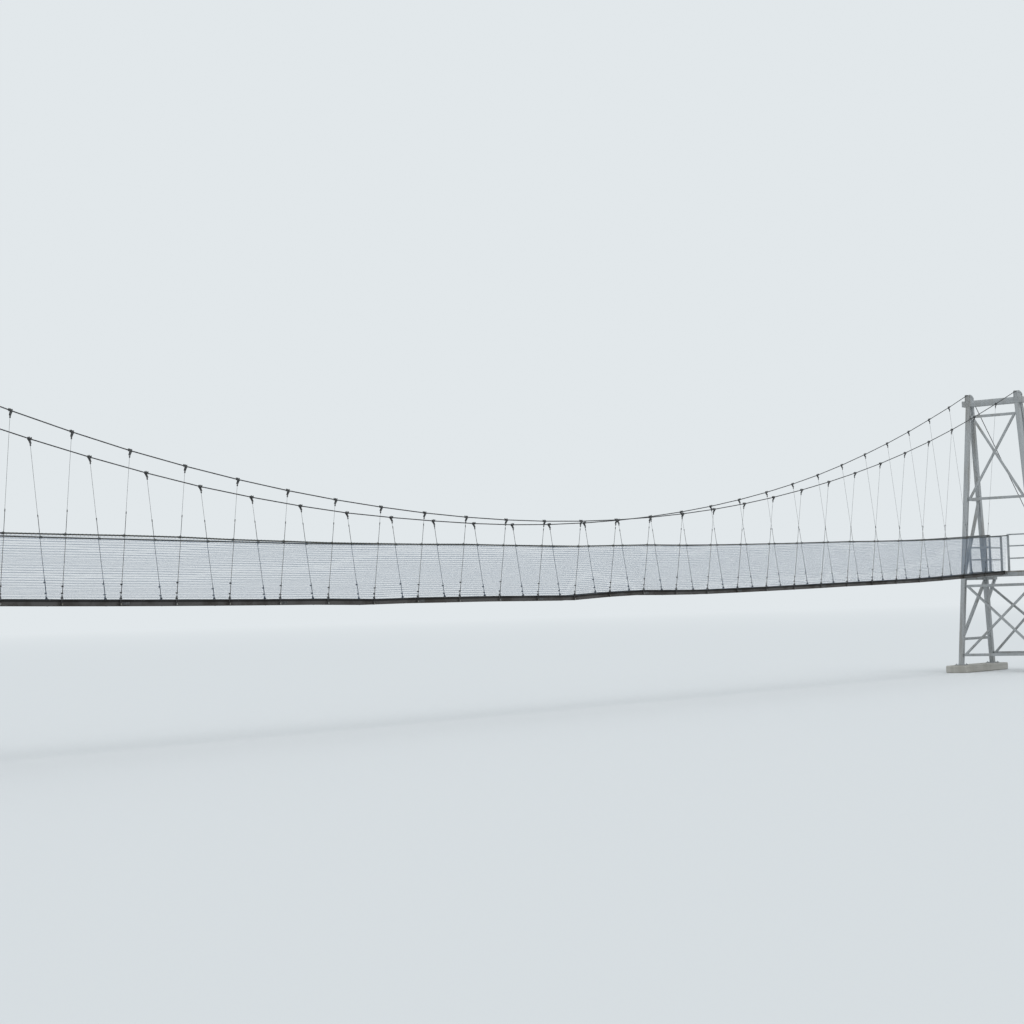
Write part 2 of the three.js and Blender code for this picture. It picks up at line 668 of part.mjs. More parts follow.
// An anchor block, its sloping face square to the backstays
function anchorBlock(end) {
  const outline = [
    [0, 0],
    [ANCHOR_LENGTH, 0],
    [ANCHOR_LENGTH, ANCHOR_TOP],
    [ANCHOR_SLOPE, ANCHOR_TOP],
    [0, ANCHOR_FRONT],
  ];
  const profile = new THREE.Shape(
    outline.map(([x, z]) => new THREE.Vector2(end * (anchorFrontX + x), z)),
  );
  const width = 2 * ANCHOR_HALF_WIDTH;
  const block = new THREE.ExtrudeGeometry(profile, { depth: width, bevelEnabled: false });
  return solid(block.rotateX(Math.PI / 2).translate(0, ANCHOR_HALF_WIDTH, 0));
}

// Assembly
const bridge = new THREE.Group();

for (const [sideName, side] of Object.entries(SIDES)) {
  bridge.add(named(`main_cable_${sideName}`, mainCable(side), wireRope));
  bridge.add(named(`hand_rope_${sideName}`, handRopeSolid(side), handRope));
  for (let i = 0; i + 1 < NET_STATIONS.length; i += 1) {
    const panel = netPanel(side, NET_STATIONS[i], NET_STATIONS[i + 1]);
    bridge.add(named(`net_${sideName}_${i + 1}`, panel, netting));
  }
}

for (let i = 0; i + 1 < DECK_JOINTS.length; i += 1) {
  const number = String(i + 1).padStart(2, '0');
  const section = deckSection(DECK_JOINTS[i], DECK_JOINTS[i + 1]);
  bridge.add(named(`deck_section_${number}`, section, walkway));
}

for (const [endName, end] of Object.entries(ENDS)) {
  const tower = new THREE.Group();
  tower.add(named(`saddle_beam_${endName}`, saddleBeam(end), galvanised));
  const portal = crossBrace(frontLeg, end, PORTAL_BOTTOM, LEG_TOP - PORTAL_BELOW_BEAM);
  tower.add(named(`portal_brace_${endName}`, portal, galvanised));
  const braceFoot = LEG_FOOT + BRACE_FOOT_HEIGHT;
  const braceTop = JOIST_BOTTOM - BRACE_BELOW_JOISTS;
  const frontBrace = crossBrace(frontLeg, end, braceFoot, braceTop);
  const rearBrace = crossBrace(rearLeg, end, braceFoot, braceTop);
  tower.add(named(`front_brace_${endName}`, frontBrace, galvanised));
  tower.add(named(`rear_brace_${endName}`, rearBrace, galvanised));
  tower.add(named(`landing_${endName}`, landing(end), decking));
  for (const [sideName, side] of Object.entries(SIDES)) {
    tower.add(named(`trestle_${endName}_${sideName}`, trestle(end, side), galvanised));
    tower.add(named(`guard_rail_${endName}_${sideName}`, guardRail(end, side), galvanised));
    tower.add(named(`footing_${endName}_${sideName}`, footing(end, side), concrete));
  }
  bridge.add(tower);
  bridge.add(named(`anchor_block_${endName}`, anchorBlock(end), concrete));
}

export default bridge;
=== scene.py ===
# %% [markdown]
# # Dressing a rope suspension footbridge
# The bridge is a 1:2 scale model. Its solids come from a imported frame, already in place and at
# their size, and this file gives them their looks: laid ropes, clamps, a fine net, ribbed boards,
# rounded steel and rough concrete. Read it from top to bottom, one cell at a time.

# %% Load the frame
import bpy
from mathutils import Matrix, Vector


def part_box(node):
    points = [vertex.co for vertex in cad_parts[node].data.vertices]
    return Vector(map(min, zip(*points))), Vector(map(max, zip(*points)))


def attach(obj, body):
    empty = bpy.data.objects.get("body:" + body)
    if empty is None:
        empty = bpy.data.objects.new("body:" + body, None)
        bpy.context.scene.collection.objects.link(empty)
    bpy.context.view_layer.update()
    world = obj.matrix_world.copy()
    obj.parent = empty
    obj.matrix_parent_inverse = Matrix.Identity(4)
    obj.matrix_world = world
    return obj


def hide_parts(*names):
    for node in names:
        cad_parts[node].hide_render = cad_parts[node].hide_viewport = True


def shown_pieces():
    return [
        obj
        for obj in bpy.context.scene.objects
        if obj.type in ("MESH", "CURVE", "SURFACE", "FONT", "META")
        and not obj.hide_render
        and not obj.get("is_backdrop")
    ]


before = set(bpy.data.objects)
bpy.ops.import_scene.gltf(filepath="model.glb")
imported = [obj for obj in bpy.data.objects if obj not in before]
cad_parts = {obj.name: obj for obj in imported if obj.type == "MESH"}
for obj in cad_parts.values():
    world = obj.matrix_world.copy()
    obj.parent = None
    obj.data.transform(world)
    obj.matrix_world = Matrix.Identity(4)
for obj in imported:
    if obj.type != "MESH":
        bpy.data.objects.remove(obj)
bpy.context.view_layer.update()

# %% [markdown]
# The span is worked out from a few driving dimensions, the same ones that the solids were made
# from. They are written in real metres, and `real` turns them into metres of the half-size model.

# %% Driving dimensions
import math

import bmesh
import bpy
import numpy as np
from mathutils import Matrix, Vector

MODEL_SCALE = 1 / 2
SIDES = {"near": -1, "far": 1}
ENDS = {"left": -1, "right": 1}


def real(length):
    return length * MODEL_SCALE


BAY = real(1.5)
BAYS_TO_TOWER = 17
HALF_SPAN = BAY * BAYS_TO_TOWER
DECK_HEIGHT = real(3.0)
DECK_RISE = real(0.43)
CABLE_OVER_DECK = real(1.84)
CABLE_SAG = real(4.683)
CABLE_HALF_WIDTH_MIDDLE = real(0.509)
CABLE_HALF_WIDTH_TOWER = real(0.908)
FOOT_HALF_WIDTH = real(0.234)
HAND_ROPE_HEIGHT = real(1.213)
CABLE_DIAMETER = real(0.026)
HAND_ROPE_DIAMETER = real(0.034)
HANGER_WIDTH = real(0.012)
GAP = 0.0003
HAND_ROPE_INSET = HAND_ROPE_DIAMETER / 2 + HANGER_WIDTH / 2 + GAP
STATIONS = [k * BAY for k in range(1 - BAYS_TO_TOWER, BAYS_TO_TOWER)]
print("span of the model:", 2 * HALF_SPAN, "m, hangers a side:", len(STATIONS))

# %% [markdown]
# A real bridge hangs a little unevenly. These lists give each line's lift at some of the hangers,
# counted from mid-span, in real metres. Between two of them the lift changes evenly. The walkway's
# are for single hangers, and the rest have none.

# %% Uneven lines
CABLE_LIFTS = {
    "near": [(-17, 0), (-9, -0.035), (-4, 0), (4, 0), (8, -0.01), (11, -0.03), (13, -0.03),
             (17, 0)],
    "far": [(-17, 0), (-7, -0.105), (-4, -0.08), (-3, -0.055), (-2, -0.04), (0, -0.04), (4, -0.02),
            (10, 0), (12, 0.025), (15, 0.035), (17, 0)]}
HAND_ROPE_LIFTS = {
    "near": [(-17, -0.02), (-9, 0.08), (-8, 0.08), (-7, 0.055), (-6, 0.045), (-5, 0.03),
             (-4, 0.05), (-3, 0.03), (-2, 0.04), (-1, 0.025), (1, 0.035), (2, -0.005),
             (3, -0.015), (5, 0.015), (10, 0.02), (17, -0.02)],
    "far": [(-17, 0.015), (-8, 0.055), (-6, 0.055), (-5, 0.045), (-4, 0.075), (-3, 0.065),
            (-1, 0.07), (1, 0.065), (2, 0.015), (3, 0.005), (4, 0.035), (10, 0.035), (17, 0.015)]}
WALKWAY_BENDS = {-4: -0.02, 0: -0.015, 1: -0.03, 2: 0.025, 3: 0.05, 4: 0.02, 11: -0.01,
                 12: -0.02, 13: -0.03, 14: -0.03, 15: -0.02, 16: -0.01}


def lift_at(stops, x):
    hangers_along, lifts = zip(*stops)
    return real(float(np.interp(x / BAY, hangers_along, lifts)))


print("far hand rope's lift at mid-span:", lift_at(HAND_ROPE_LIFTS["far"], 0), "m")

# %% [markdown]
# Each side of the bridge is one bent surface. It stands on the edge of the walkway and leans out
# to its cable, most of all at mid-span, where the cable is low. `side_point` finds any place on
# it, so the ropes, the net and the hangers all agree.

# %% Curves of the bridge
def span_share(x):
    return (x / HALF_SPAN) ** 2


def deck_top(x):
    """Height of the walkway, which is straight between two hangers"""
    first = min(max(math.floor(x / BAY), -BAYS_TO_TOWER), BAYS_TO_TOWER - 1)
    low, high = (
        DECK_HEIGHT + DECK_RISE * span_share(k * BAY) + real(WALKWAY_BENDS.get(k, 0))
        for k in (first, first + 1)
    )
    return low + (high - low) * (x / BAY - first)


def cable_curve(x):
    """Height of both cables if they hung evenly"""
    return DECK_HEIGHT + CABLE_OVER_DECK + CABLE_SAG * span_share(x)


def cable_top(side, x):
    return cable_curve(x) + lift_at(CABLE_LIFTS[side], x)


def cable_half_width(x):
    widening = CABLE_HALF_WIDTH_TOWER - CABLE_HALF_WIDTH_MIDDLE
    return CABLE_HALF_WIDTH_MIDDLE + widening * span_share(x)


def lean(side, x):
    return math.atan2(cable_half_width(x) - FOOT_HALF_WIDTH, cable_top(side, x) - deck_top(x))


def side_point(side, x, height, inset=0.0):
    """A point at a height over the walkway, set in from the plane of the hangers"""
    angle = lean(side, x)
    y = FOOT_HALF_WIDTH + height * math.tan(angle) - inset * math.cos(angle)
    return Vector((x, SIDES[side] * y, deck_top(x) + height + inset * math.sin(angle)))


def hand_rope_height(side, x):
    return HAND_ROPE_HEIGHT + lift_at(HAND_ROPE_LIFTS[side], x)


def cable_point(side, x):
    return Vector((x, SIDES[side] * cable_half_width(x), cable_top(side, x)))


hand_ropes = [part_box(f"hand_rope_{side}")[1].z for side in SIDES]
print("hand rope tops in the frame:", [round(z, 4) for z in hand_ropes])
print("worked out here:", [
    round(side_point(side, HALF_SPAN - GAP, hand_rope_height(side, HALF_SPAN), HAND_ROPE_INSET).z
          + HAND_ROPE_DIAMETER / 2, 4) for side in SIDES])

# %% [markdown]
# Modelling by hand in Blender is a matter of what is selected. These helpers pick one object,
# make its place part of its mesh, apply a modifier, and join or copy pieces. Every piece here
# starts with everything deselected.

# %% Hand tools
def only(obj):
    """Selects one object and nothing else, in object mode"""
    if bpy.context.mode != "OBJECT":
        bpy.ops.object.mode_set(mode="OBJECT")
    bpy.ops.object.select_all(action="DESELECT")
    obj.select_set(True)
    bpy.context.view_layer.objects.active = obj
    return obj


def settle(obj):
    only(obj)
    bpy.ops.object.transform_apply(location=True, rotation=True, scale=True)
    return obj


def modify(obj, kind, **settings):
    only(obj)
    modifier = obj.modifiers.new(kind.title(), kind)
    for key, value in settings.items():
        setattr(modifier, key, value)
    bpy.ops.object.modifier_apply(modifier=modifier.name)
    return obj


def joined(name, parts):
    only(parts[0])
    for part in parts:
        part.select_set(True)
    if len(parts) > 1:
        bpy.ops.object.join()
    whole = bpy.context.object
    whole.name = whole.data.name = name
    return whole


def repeated(name, pattern, places):
    """One piece made of copies of a pattern, each with its own mesh"""
    copies = []
    for place in places:
        copy = pattern.copy()
        copy.data = pattern.data.copy()
        copy.data.transform(place)
        bpy.context.collection.objects.link(copy)
        copies.append(copy)
    return joined(name, copies)


def edit(obj, mode="FACE", action="DESELECT"):
    """Edit mode, with nothing selected or, with the action SELECT, everything"""
    only(obj)
    bpy.ops.object.mode_set(mode="EDIT")
    bpy.ops.mesh.select_mode(type=mode)
    bpy.ops.mesh.select_all(action=action)
    return bmesh.from_edit_mesh(obj.data)


def pick(obj, mode, test):
    """Edit mode, with the faces or edges selected that pass a test"""
    mesh = edit(obj, mode)
    for part in mesh.faces if mode == "FACE" else mesh.edges:
        part.select_set(test(part))
    bmesh.update_edit_mesh(obj.data)


def outward(obj):
    edit(obj, action="SELECT")
    bpy.ops.mesh.normals_make_consistent(inside=False)
    return only(obj)


def standing(place, x_axis, z_axis, square=True):
    """The matrix that puts a real-size pattern on the half-size model"""
    x = Vector(x_axis).normalized()
    z = Vector(z_axis)
    if square:
        z = z - x * z.dot(x)
    z = z.normalized()
    turn = Matrix((x, z.cross(x).normalized(), z)).transposed().to_4x4()
    return Matrix.Translation(place) @ turn @ Matrix.Scale(MODEL_SCALE, 4)

# %% [markdown]
# Small fittings are all made of the same few blanks: a block, a rod, a ring, and an outline that
# is extruded. Blocks and rods can have their edges taken off.

# %% Blanks
AXES = {"x": (0, math.pi / 2, 0), "y": (math.pi / 2, 0, 0), "z": (0, 0, 0)}


def blank(add, at, axis="z", **sizes):
    """A new primitive, with nothing else selected and its place in its mesh"""
    bpy.ops.object.select_all(action="DESELECT")
    add(location=at, rotation=AXES[axis], **sizes)
    return settle(bpy.context.object)


def block(size, at, bevel=0.0):
    obj = blank(bpy.ops.mesh.primitive_cube_add, at, size=1, scale=size)
    if bevel:
        edit(obj, "EDGE", "SELECT")
        bpy.ops.mesh.bevel(offset=bevel, offset_type="OFFSET", segments=1, affect="EDGES")
    return only(obj)


def rod(radius, length, at, axis, sides=8, bevel=0.0):
    obj = blank(bpy.ops.mesh.primitive_cylinder_add, at, axis,
                vertices=sides, radius=radius, depth=length)
    if bevel:
        pick(obj, "FACE", lambda face: len(face.verts) == sides)
        bpy.ops.mesh.bevel(offset=bevel, offset_type="OFFSET", segments=1, affect="EDGES")
    return only(obj)


def ring(major, minor, at, axis, segments=10, sides=5):
    return blank(bpy.ops.mesh.primitive_torus_add, at, axis, major_radius=major,
                 minor_radius=minor, major_segments=segments, minor_segments=sides)


def extruded(name, outline, steps):
    """An outline drawn as one face and extruded, step by step"""
    mesh = bpy.data.meshes.new(name)
    mesh.from_pydata([tuple(point) for point in outline], [], [list(range(len(outline)))])
    obj = bpy.data.objects.new(name, mesh)
    bpy.context.collection.objects.link(obj)
    edit(obj, action="SELECT")
    for step in steps:
        bpy.ops.mesh.extrude_region_move(TRANSFORM_OT_translate={"value": tuple(step)})
    return outward(obj)

# %% [markdown]
# A shader is easier to read as a formula than as a web of nodes. `Wire` wraps a socket, so that
# sums on values add Math nodes, and `Finish` makes one material and adds any other node.

# %% Shader tools
class Wire:
    def __init__(self, finish, socket):
        self.finish = finish
        self.socket = socket

    def math(self, operation, left, right):
        return self.finish.node("ShaderNodeMath", {"operation": operation}, {0: left, 1: right})

    def __add__(self, other):
        return self.math("ADD", self, other)

    def __sub__(self, other):
        return self.math("SUBTRACT", self, other)

    def __rsub__(self, other):
        return self.math("SUBTRACT", other, self)

    def __mul__(self, other):
        return self.math("MULTIPLY", self, other)

    __radd__ = __add__
    __rmul__ = __mul__


class Finish:
    def __init__(self, name):
        self.material = bpy.data.materials.new(name)
        self.material.use_nodes = True
        self.tree = self.material.node_tree
        self.shader = self.tree.nodes["Principled BSDF"]
        self.place = self.node("ShaderNodeTexCoord", output="Object")

    def node(self, kind, settings=None, inputs=None, output=0):
        node = self.tree.nodes.new(kind)
        for key, value in (settings or {}).items():
            if key == "stops":
                ramp = node.color_ramp.elements
                while len(ramp) < len(value):
                    ramp.new(1.0)
                for stop, (position, shade) in zip(ramp, value):
                    stop.position = position
                    stop.color = (shade, shade, shade, 1)
            else:
                setattr(node, key, value)
        for key, value in (inputs or {}).items():
            self.feed(node.inputs[key], value)
        return Wire(self, node.outputs[output])

    def feed(self, socket, value):
        if isinstance(value, Wire):
            self.tree.links.new(value.socket, socket)
        else:
            socket.default_value = value

    def noise(self, scale, detail=4.0, roughness=0.6, stretch=(1, 1, 1)):
        place = self.node("ShaderNodeMapping", None, {"Vector": self.place, "Scale": stretch})
        return self.node("ShaderNodeTexNoise", None, {
            "Vector": place, "Scale": scale, "Detail": detail, "Roughness": roughness})

    def band(self, value, low, high):
        """0 under low, 1 over high, and a smooth step between them"""
        return self.node("ShaderNodeMapRange", {"interpolation_type": "SMOOTHSTEP"}, {
            "Value": value, "From Min": low, "From Max": high})

    def mix(self, share, first, second):
        colours = {6: (*first, 1) if isinstance(first, tuple) else first,
                   7: (*second, 1) if isinstance(second, tuple) else second}
        return self.node("ShaderNodeMix", {"data_type": "RGBA"}, {0: share, **colours}, output=2)

    def bump(self, height, distance, strength=1.0):
        return self.node("ShaderNodeBump", None, {
            "Height": height, "Distance": distance, "Strength": strength})

    def along_rope(self, part):
        """One side of a rope's own map: X is the share of once round, Y the metres along it"""
        place = self.node("ShaderNodeSeparateXYZ", None,
                          {"Vector": self.node("ShaderNodeTexCoord", output="UV")})
        return Wire(self, place.socket.node.outputs[part])

    # This mask is used to paint shade into the grooves of laid ropes.
    def grooves(self, strands):
        """1 in the grooves between the strands of a laid rope, 0 on their backs"""
        fold = self.node("ShaderNodeMath", {"operation": "PINGPONG"},
                         {0: self.along_rope("X") * strands, 1: 0.5})
        return self.band(fold, 0.25, 0.5)

    def done(self, colour, roughness, metallic=0.0, normal=None, gloss=0.5):
        self.feed(self.shader.inputs["Base Color"], colour)
        self.feed(self.shader.inputs["Roughness"], roughness)
        self.feed(self.shader.inputs["Metallic"], metallic)
        self.feed(self.shader.inputs["Specular IOR Level"], gloss)
        if normal is not None:
            self.feed(self.shader.inputs["Normal"], normal)
        print(f"finish {self.material.name}: {len(self.tree.nodes)} nodes")
        return self.material

# %% [markdown]
# Wire rope is dark, dull steel. The main cables have real strands, with painted shade in the
# grooves. The hangers are too thin for that, so their strands are bump. Both follow each rope's
# own map: once round is 1 across the map, and along the map is counted in metres.

# %% Wire rope
def wire_rope_finish(name, strands=0):
    finish = Finish(name)
    dirt = finish.band(finish.noise(6.0), 0.42, 0.62)
    rust = finish.band(finish.noise(17.0, detail=6), 0.6, 0.75)
    steel = finish.mix(dirt, (0.085, 0.088, 0.092), (0.05, 0.05, 0.052))
    colour = finish.mix(rust * 0.5, steel, (0.1, 0.062, 0.04))
    normal = None
    if strands:
        # Painted shade: the grooves between the strands are coloured near black.
        colour = finish.mix(finish.grooves(strands), colour, (0.02, 0.02, 0.019))
    else:
        turns = finish.along_rope("X") * 6.0 + finish.along_rope("Y") * (1 / real(0.012))
        wave = finish.node("ShaderNodeMath", {"operation": "SINE"}, {0: turns * (2 * math.pi)})
        normal = finish.bump(wave, 0.0006)
    return finish.done(colour, 0.55 + dirt * 0.25, 0.35, normal)


CABLE_STEEL = wire_rope_finish("cable_steel", strands=6)
HANGER_STEEL = wire_rope_finish("hanger_steel")

# %% [markdown]
# The fittings on the ropes are forged and galvanised, and have gone dark and blotchy. The towers
# are newer looking: dull zinc with faint crystals, which are cells of slightly different grey.

# %% Fittings and galvanised steel
def fitting_finish():
    finish = Finish("fitting_steel")
    blotch = finish.band(finish.noise(45.0, detail=5), 0.4, 0.65)
    colour = finish.mix(blotch, (0.058, 0.059, 0.061), (0.11, 0.111, 0.109))
    grain = finish.noise(900.0, detail=2)
    return finish.done(colour, 0.75 - blotch * 0.25, 0.3, finish.bump(grain, 0.0003))


def galvanised_finish():
    finish = Finish("galvanised_steel")
    crystal = finish.node("ShaderNodeTexVoronoi", None, {"Vector": finish.place, "Scale": 70.0},
                          output="Color")
    cell = finish.node("ShaderNodeSeparateColor", None, {"Color": crystal})
    streak = finish.band(finish.noise(9.0, stretch=(1, 1, 0.12)), 0.45, 0.72)
    zinc = finish.mix(cell, (0.36, 0.375, 0.385), (0.43, 0.445, 0.45))
    stained = finish.mix(streak * 0.6, zinc, (0.25, 0.235, 0.205))
    dull = finish.noise(30.0)
    return finish.done(stained, 0.42 + dull * 0.3, 0.55, finish.bump(dull, 0.0008))


FITTING_STEEL = fitting_finish()
GALVANISED = galvanised_finish()

# %% [markdown]
# The hand ropes are weathered olive-grey fibre, and the nets are a thin grey-blue twine.

# %% Rope and twine
def fibre_finish(name, clean, worn, scale, grain_size, strands=0):
    finish = Finish(name)
    wear = finish.band(finish.noise(scale), 0.38, 0.66)
    fuzz = finish.noise(1 / grain_size, detail=3, stretch=(0.3, 1, 1))
    colour = finish.mix(wear, clean, worn)
    if strands:
        # Painted shade: the grooves between the strands are coloured darker.
        colour = finish.mix(finish.grooves(strands), colour, (0.024, 0.023, 0.019))
    return finish.done(colour, 0.85 + wear * 0.1, 0.0, finish.bump(fuzz, grain_size * 0.6))


ROPE_SHADES = (0.068, 0.07, 0.059), (0.12, 0.116, 0.094)
HAND_ROPE = fibre_finish("hand_rope_fibre", *ROPE_SHADES, 5.0, 0.002, strands=3)
ROPE_SLEEVE = fibre_finish("rope_sleeve", *ROPE_SHADES, 5.0, 0.002)
TWINE = fibre_finish("net_twine", (0.11, 0.17, 0.26), (0.15, 0.21, 0.3), 2.0, 0.001)
# A dark cord, made darker still as painted shade along the edge of the boards.
HEM_CORD = fibre_finish("hem_cord", (0.05, 0.048, 0.042), (0.1, 0.095, 0.08), 4.0, 0.001)

# %% [markdown]
# The walkway has three metals: worn boards, side rails of a brownish grey, and the angle that
# edges the boards, near black as painted shade along their edge. A fourth and paler one is for the
# landings. Dirt gathers in blotches, and long scratches run with the feet.

# %% Walkway metals
def walkway_finish(name, clean, dirty, metallic):
    finish = Finish(name)
    blotch = finish.band(finish.noise(3.5, detail=6), 0.4, 0.66)
    scratch = finish.band(finish.noise(60.0, detail=3, stretch=(0.05, 1, 1)), 0.55, 0.72)
    colour = finish.mix(scratch * (1 - blotch) * 0.35, finish.mix(blotch, clean, dirty),
                        tuple(min(1.0, 1.5 * part) for part in clean))
    pits = finish.noise(220.0, detail=4)
    return finish.done(colour, 0.55 + blotch * 0.3, metallic, finish.bump(pits, 0.0004), 0.25)


BOARD_METAL = walkway_finish("board_metal", (0.15, 0.145, 0.135), (0.085, 0.076, 0.062), 0.3)
# Near black: painted shade along the edges of the boards.
EDGE_PAINTED_SHADE = walkway_finish("edge_painted_shade", (0.014, 0.0135, 0.013), (0.01, 0.009, 0.008), 0.1)
RAIL_METAL = walkway_finish("rail_metal", (0.077, 0.073, 0.07), (0.048, 0.043, 0.038), 0.15)
LANDING_METAL = walkway_finish("landing_metal", (0.33, 0.325, 0.31), (0.22, 0.2, 0.17), 0.4)

# %% [markdown]
# Cast concrete shows the boards it was poured against: a step of tone and a fine ridge at each
# board, plus air holes, darkened with painted shade, and rain stains.

# %% Concrete
def concrete_finish():
    finish = Finish("cast_concrete")
    height = finish.node("ShaderNodeSeparateXYZ", None, {"Vector": finish.place})
    level = Wire(finish, height.socket.node.outputs["Z"]) * (1 / real(0.15))
    board = finish.node("ShaderNodeMath", {"operation": "FLOOR"}, {0: level})
    tone = finish.node("ShaderNodeTexWhiteNoise", {"noise_dimensions": "1D"}, {"W": board})
    seam = finish.node("ShaderNodeMath", {"operation": "PINGPONG"}, {0: level, 1: 0.5})
    ridge = 1 - finish.band(seam, 0.0, 0.035)
    stain = finish.band(finish.noise(2.4, detail=6, stretch=(1, 1, 0.35)), 0.42, 0.7)
    speck = finish.noise(70.0, detail=5)
    holes = finish.band(finish.node("ShaderNodeTexVoronoi", None, {"Vector": finish.place,
                                                                   "Scale": 24.0}), 0.03, 0.07)
    base = finish.mix(tone * 0.35 + speck * 0.4, (0.42, 0.41, 0.375), (0.57, 0.555, 0.52))
    # Painted shade: the air holes are coloured dark.
    cast = finish.mix(holes, (0.2, 0.19, 0.17), base)
    colour = finish.mix(stain * 0.7, cast, (0.3, 0.285, 0.25))
    relief = finish.bump(speck * 0.35 + holes * 0.8 + ridge * 0.5, 0.003)
    return finish.done(colour, 0.85 + speck * 0.1, 0.0, relief)


CONCRETE = concrete_finish()

# %% [markdown]
# Every finished piece gets its material and a body to ride on. The bridge has one body, because
# nothing on it is made to move. Where two faces meet at less than a smoothing angle, in degrees,
# the shading runs on from one to the other.

# %% Signing off a piece
ROPE_SMOOTH = 80
WIRE_SMOOTH = 60
FITTING_SMOOTH = 40
STEEL_SMOOTH = 30


def finished(obj, material, replaces=(), smooth=None):
    only(obj)
    if smooth is not None:
        bpy.ops.object.shade_smooth_by_angle(angle=math.radians(smooth))
    obj.data.materials.clear()
    obj.data.materials.append(material)
    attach(obj, "root")
    if replaces:
        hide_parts(*replaces)
    triangles = sum(len(face.vertices) - 2 for face in obj.data.polygons)
    print(f"{obj.name}: {triangles} triangles")


def set_out(pattern, rows, material, smooth=None, stands_for=None):
    """Copies a pattern to all the places of each row, and signs off each row as a piece"""
    for name, places in rows.items():
        replaces = [stands_for[name]] if stands_for else ()
        finished(repeated(name, pattern, places), material, replaces, smooth)
    bpy.data.objects.remove(pattern)

# %% [markdown]
# Ropes are tubes along a path. A laid rope's section has one lobe for each strand, and turning
# the section a little at every ring winds the strands round. `Ropes` gathers many tubes and turns
# them into one mesh, with a map that follows each rope.

# %% Rope making
def reach_along(path):
    """How far along a path each of its points lies"""
    return np.concatenate([[0], np.cumsum(np.linalg.norm(np.diff(path, axis=0), axis=1))])


def resampled(points, step):
    """Points at equal steps along a path"""
    points = np.array([tuple(point) for point in points])
    reach = reach_along(points)
    places = np.linspace(0, reach[-1], max(2, round(reach[-1] / step) + 1))
    return np.stack([np.interp(places, reach, points[:, axis]) for axis in range(3)], axis=1)


class Ropes:
    def __init__(self):
        self.corners, self.faces, self.maps, self.count = [], [], [], 0

    def add(self, path, diameter, sides=6, across=(0, 1, 0), radii=(1.0,), lay=None):
        path = np.array([tuple(point) for point in path], float)
        ahead = np.gradient(path, axis=0)
        ahead /= np.linalg.norm(ahead, axis=1)[:, None]
        first = np.array(across, float) - ahead * (ahead @ np.array(across, float))[:, None]
        first /= np.linalg.norm(first, axis=1)[:, None]
        second = np.cross(ahead, first)
        reach = reach_along(path)
        turn = 2 * np.pi * np.arange(sides) / sides
        turn = turn[None, :] + (2 * np.pi * reach[:, None] / lay if lay else 0)
        radius = np.array([radii[i % len(radii)] for i in range(sides)]) * diameter / 2
        rings = path[:, None, :] + radius[None, :, None] * (
            np.cos(turn)[:, :, None] * first[:, None, :]
            + np.sin(turn)[:, :, None] * second[:, None, :])
        self.corners.append(rings.reshape(-1, 3))
        ring = np.arange(len(path) - 1)[:, None] * sides
        side = np.arange(sides)[None, :]
        near, far = ring + side, ring + (side + 1) % sides
        quads = np.stack([near, far, far + sides, near + sides], axis=-1).reshape(-1, 4)
        last = (len(path) - 1) * sides
        caps = [list(range(sides))[::-1], list(range(last, last + sides))]
        self.faces += (quads + self.count).tolist()
        self.faces += [[corner + self.count for corner in cap] for cap in caps]
        share = np.broadcast_to(side / sides, near.shape)
        start, end = (np.broadcast_to(reach[part, None], near.shape) for part in
                      (slice(0, -1), slice(1, None)))
        map_corners = [(share, start), (share + 1 / sides, start),
                       (share + 1 / sides, end), (share, end)]
        quad_map = np.stack([np.stack(pair, axis=-1) for pair in map_corners], axis=2)
        self.maps += [quad_map.reshape(-1, 2), np.zeros((2 * sides, 2))]
        self.count += len(path) * sides

    def piece(self, name):
        mesh = bpy.data.meshes.new(name)
        mesh.from_pydata(np.concatenate(self.corners).tolist(), [], self.faces)
        rope_map = mesh.uv_layers.new(name="rope_map")
        rope_map.uv.foreach_set("vector", np.concatenate(self.maps).ravel())
        obj = bpy.data.objects.new(name, mesh)
        bpy.context.collection.objects.link(obj)
        return obj


def one_rope(name, path, diameter, **section):
    ropes = Ropes()
    ropes.add(path, diameter, **section)
    return ropes.piece(name)

# %% [markdown]
# A main cable runs over both saddles to its two sockets. It is six round strands, which wind
# once round in every eleven centimetres of the model, with two corners to a strand.

# %% Main cables
SADDLE_RADIUS = real(0.35)
CABLE_END_ANGLE = math.atan(2 * CABLE_SAG / HALF_SPAN)
BACKSTAY_ANGLE = math.pi / 4
SADDLE_CENTRE_Z = (cable_curve(HALF_SPAN - SADDLE_RADIUS * math.sin(CABLE_END_ANGLE))
                   - SADDLE_RADIUS * math.cos(CABLE_END_ANGLE))
ANCHOR_SEAT_Z = real(0.8)
SOCKET_REACH = real(1.12)
STRAND_RADII = (1.0, 0.86)


def saddle_arc(end, radius, steps):
    turns = np.linspace(-CABLE_END_ANGLE, BACKSTAY_ANGLE, steps + 1)
    return [Vector((end * (HALF_SPAN + radius * math.sin(turn)), 0,
                    SADDLE_CENTRE_Z + radius * math.cos(turn))) for turn in turns]


stay_top = saddle_arc(1, SADDLE_RADIUS, 1)[-1]
ANCHOR_SEAT_X = stay_top.x + (stay_top.z - ANCHOR_SEAT_Z) / math.tan(BACKSTAY_ANGLE)


def stay_point(end, side, reach, out=0.0):
    """A point of a backstay, this far up from the face of its anchor block"""
    slope = reach / math.sqrt(2)
    y = SIDES[side] * CABLE_HALF_WIDTH_TOWER + out
    return Vector((end * (ANCHOR_SEAT_X - slope), y, ANCHOR_SEAT_Z + slope))


def over_saddle(end, side):
    sideways = Vector((0, SIDES[side] * CABLE_HALF_WIDTH_TOWER, 0))
    arc = [point + sideways for point in saddle_arc(end, SADDLE_RADIUS, 12)]
    return [*arc, stay_point(end, side, SOCKET_REACH)]


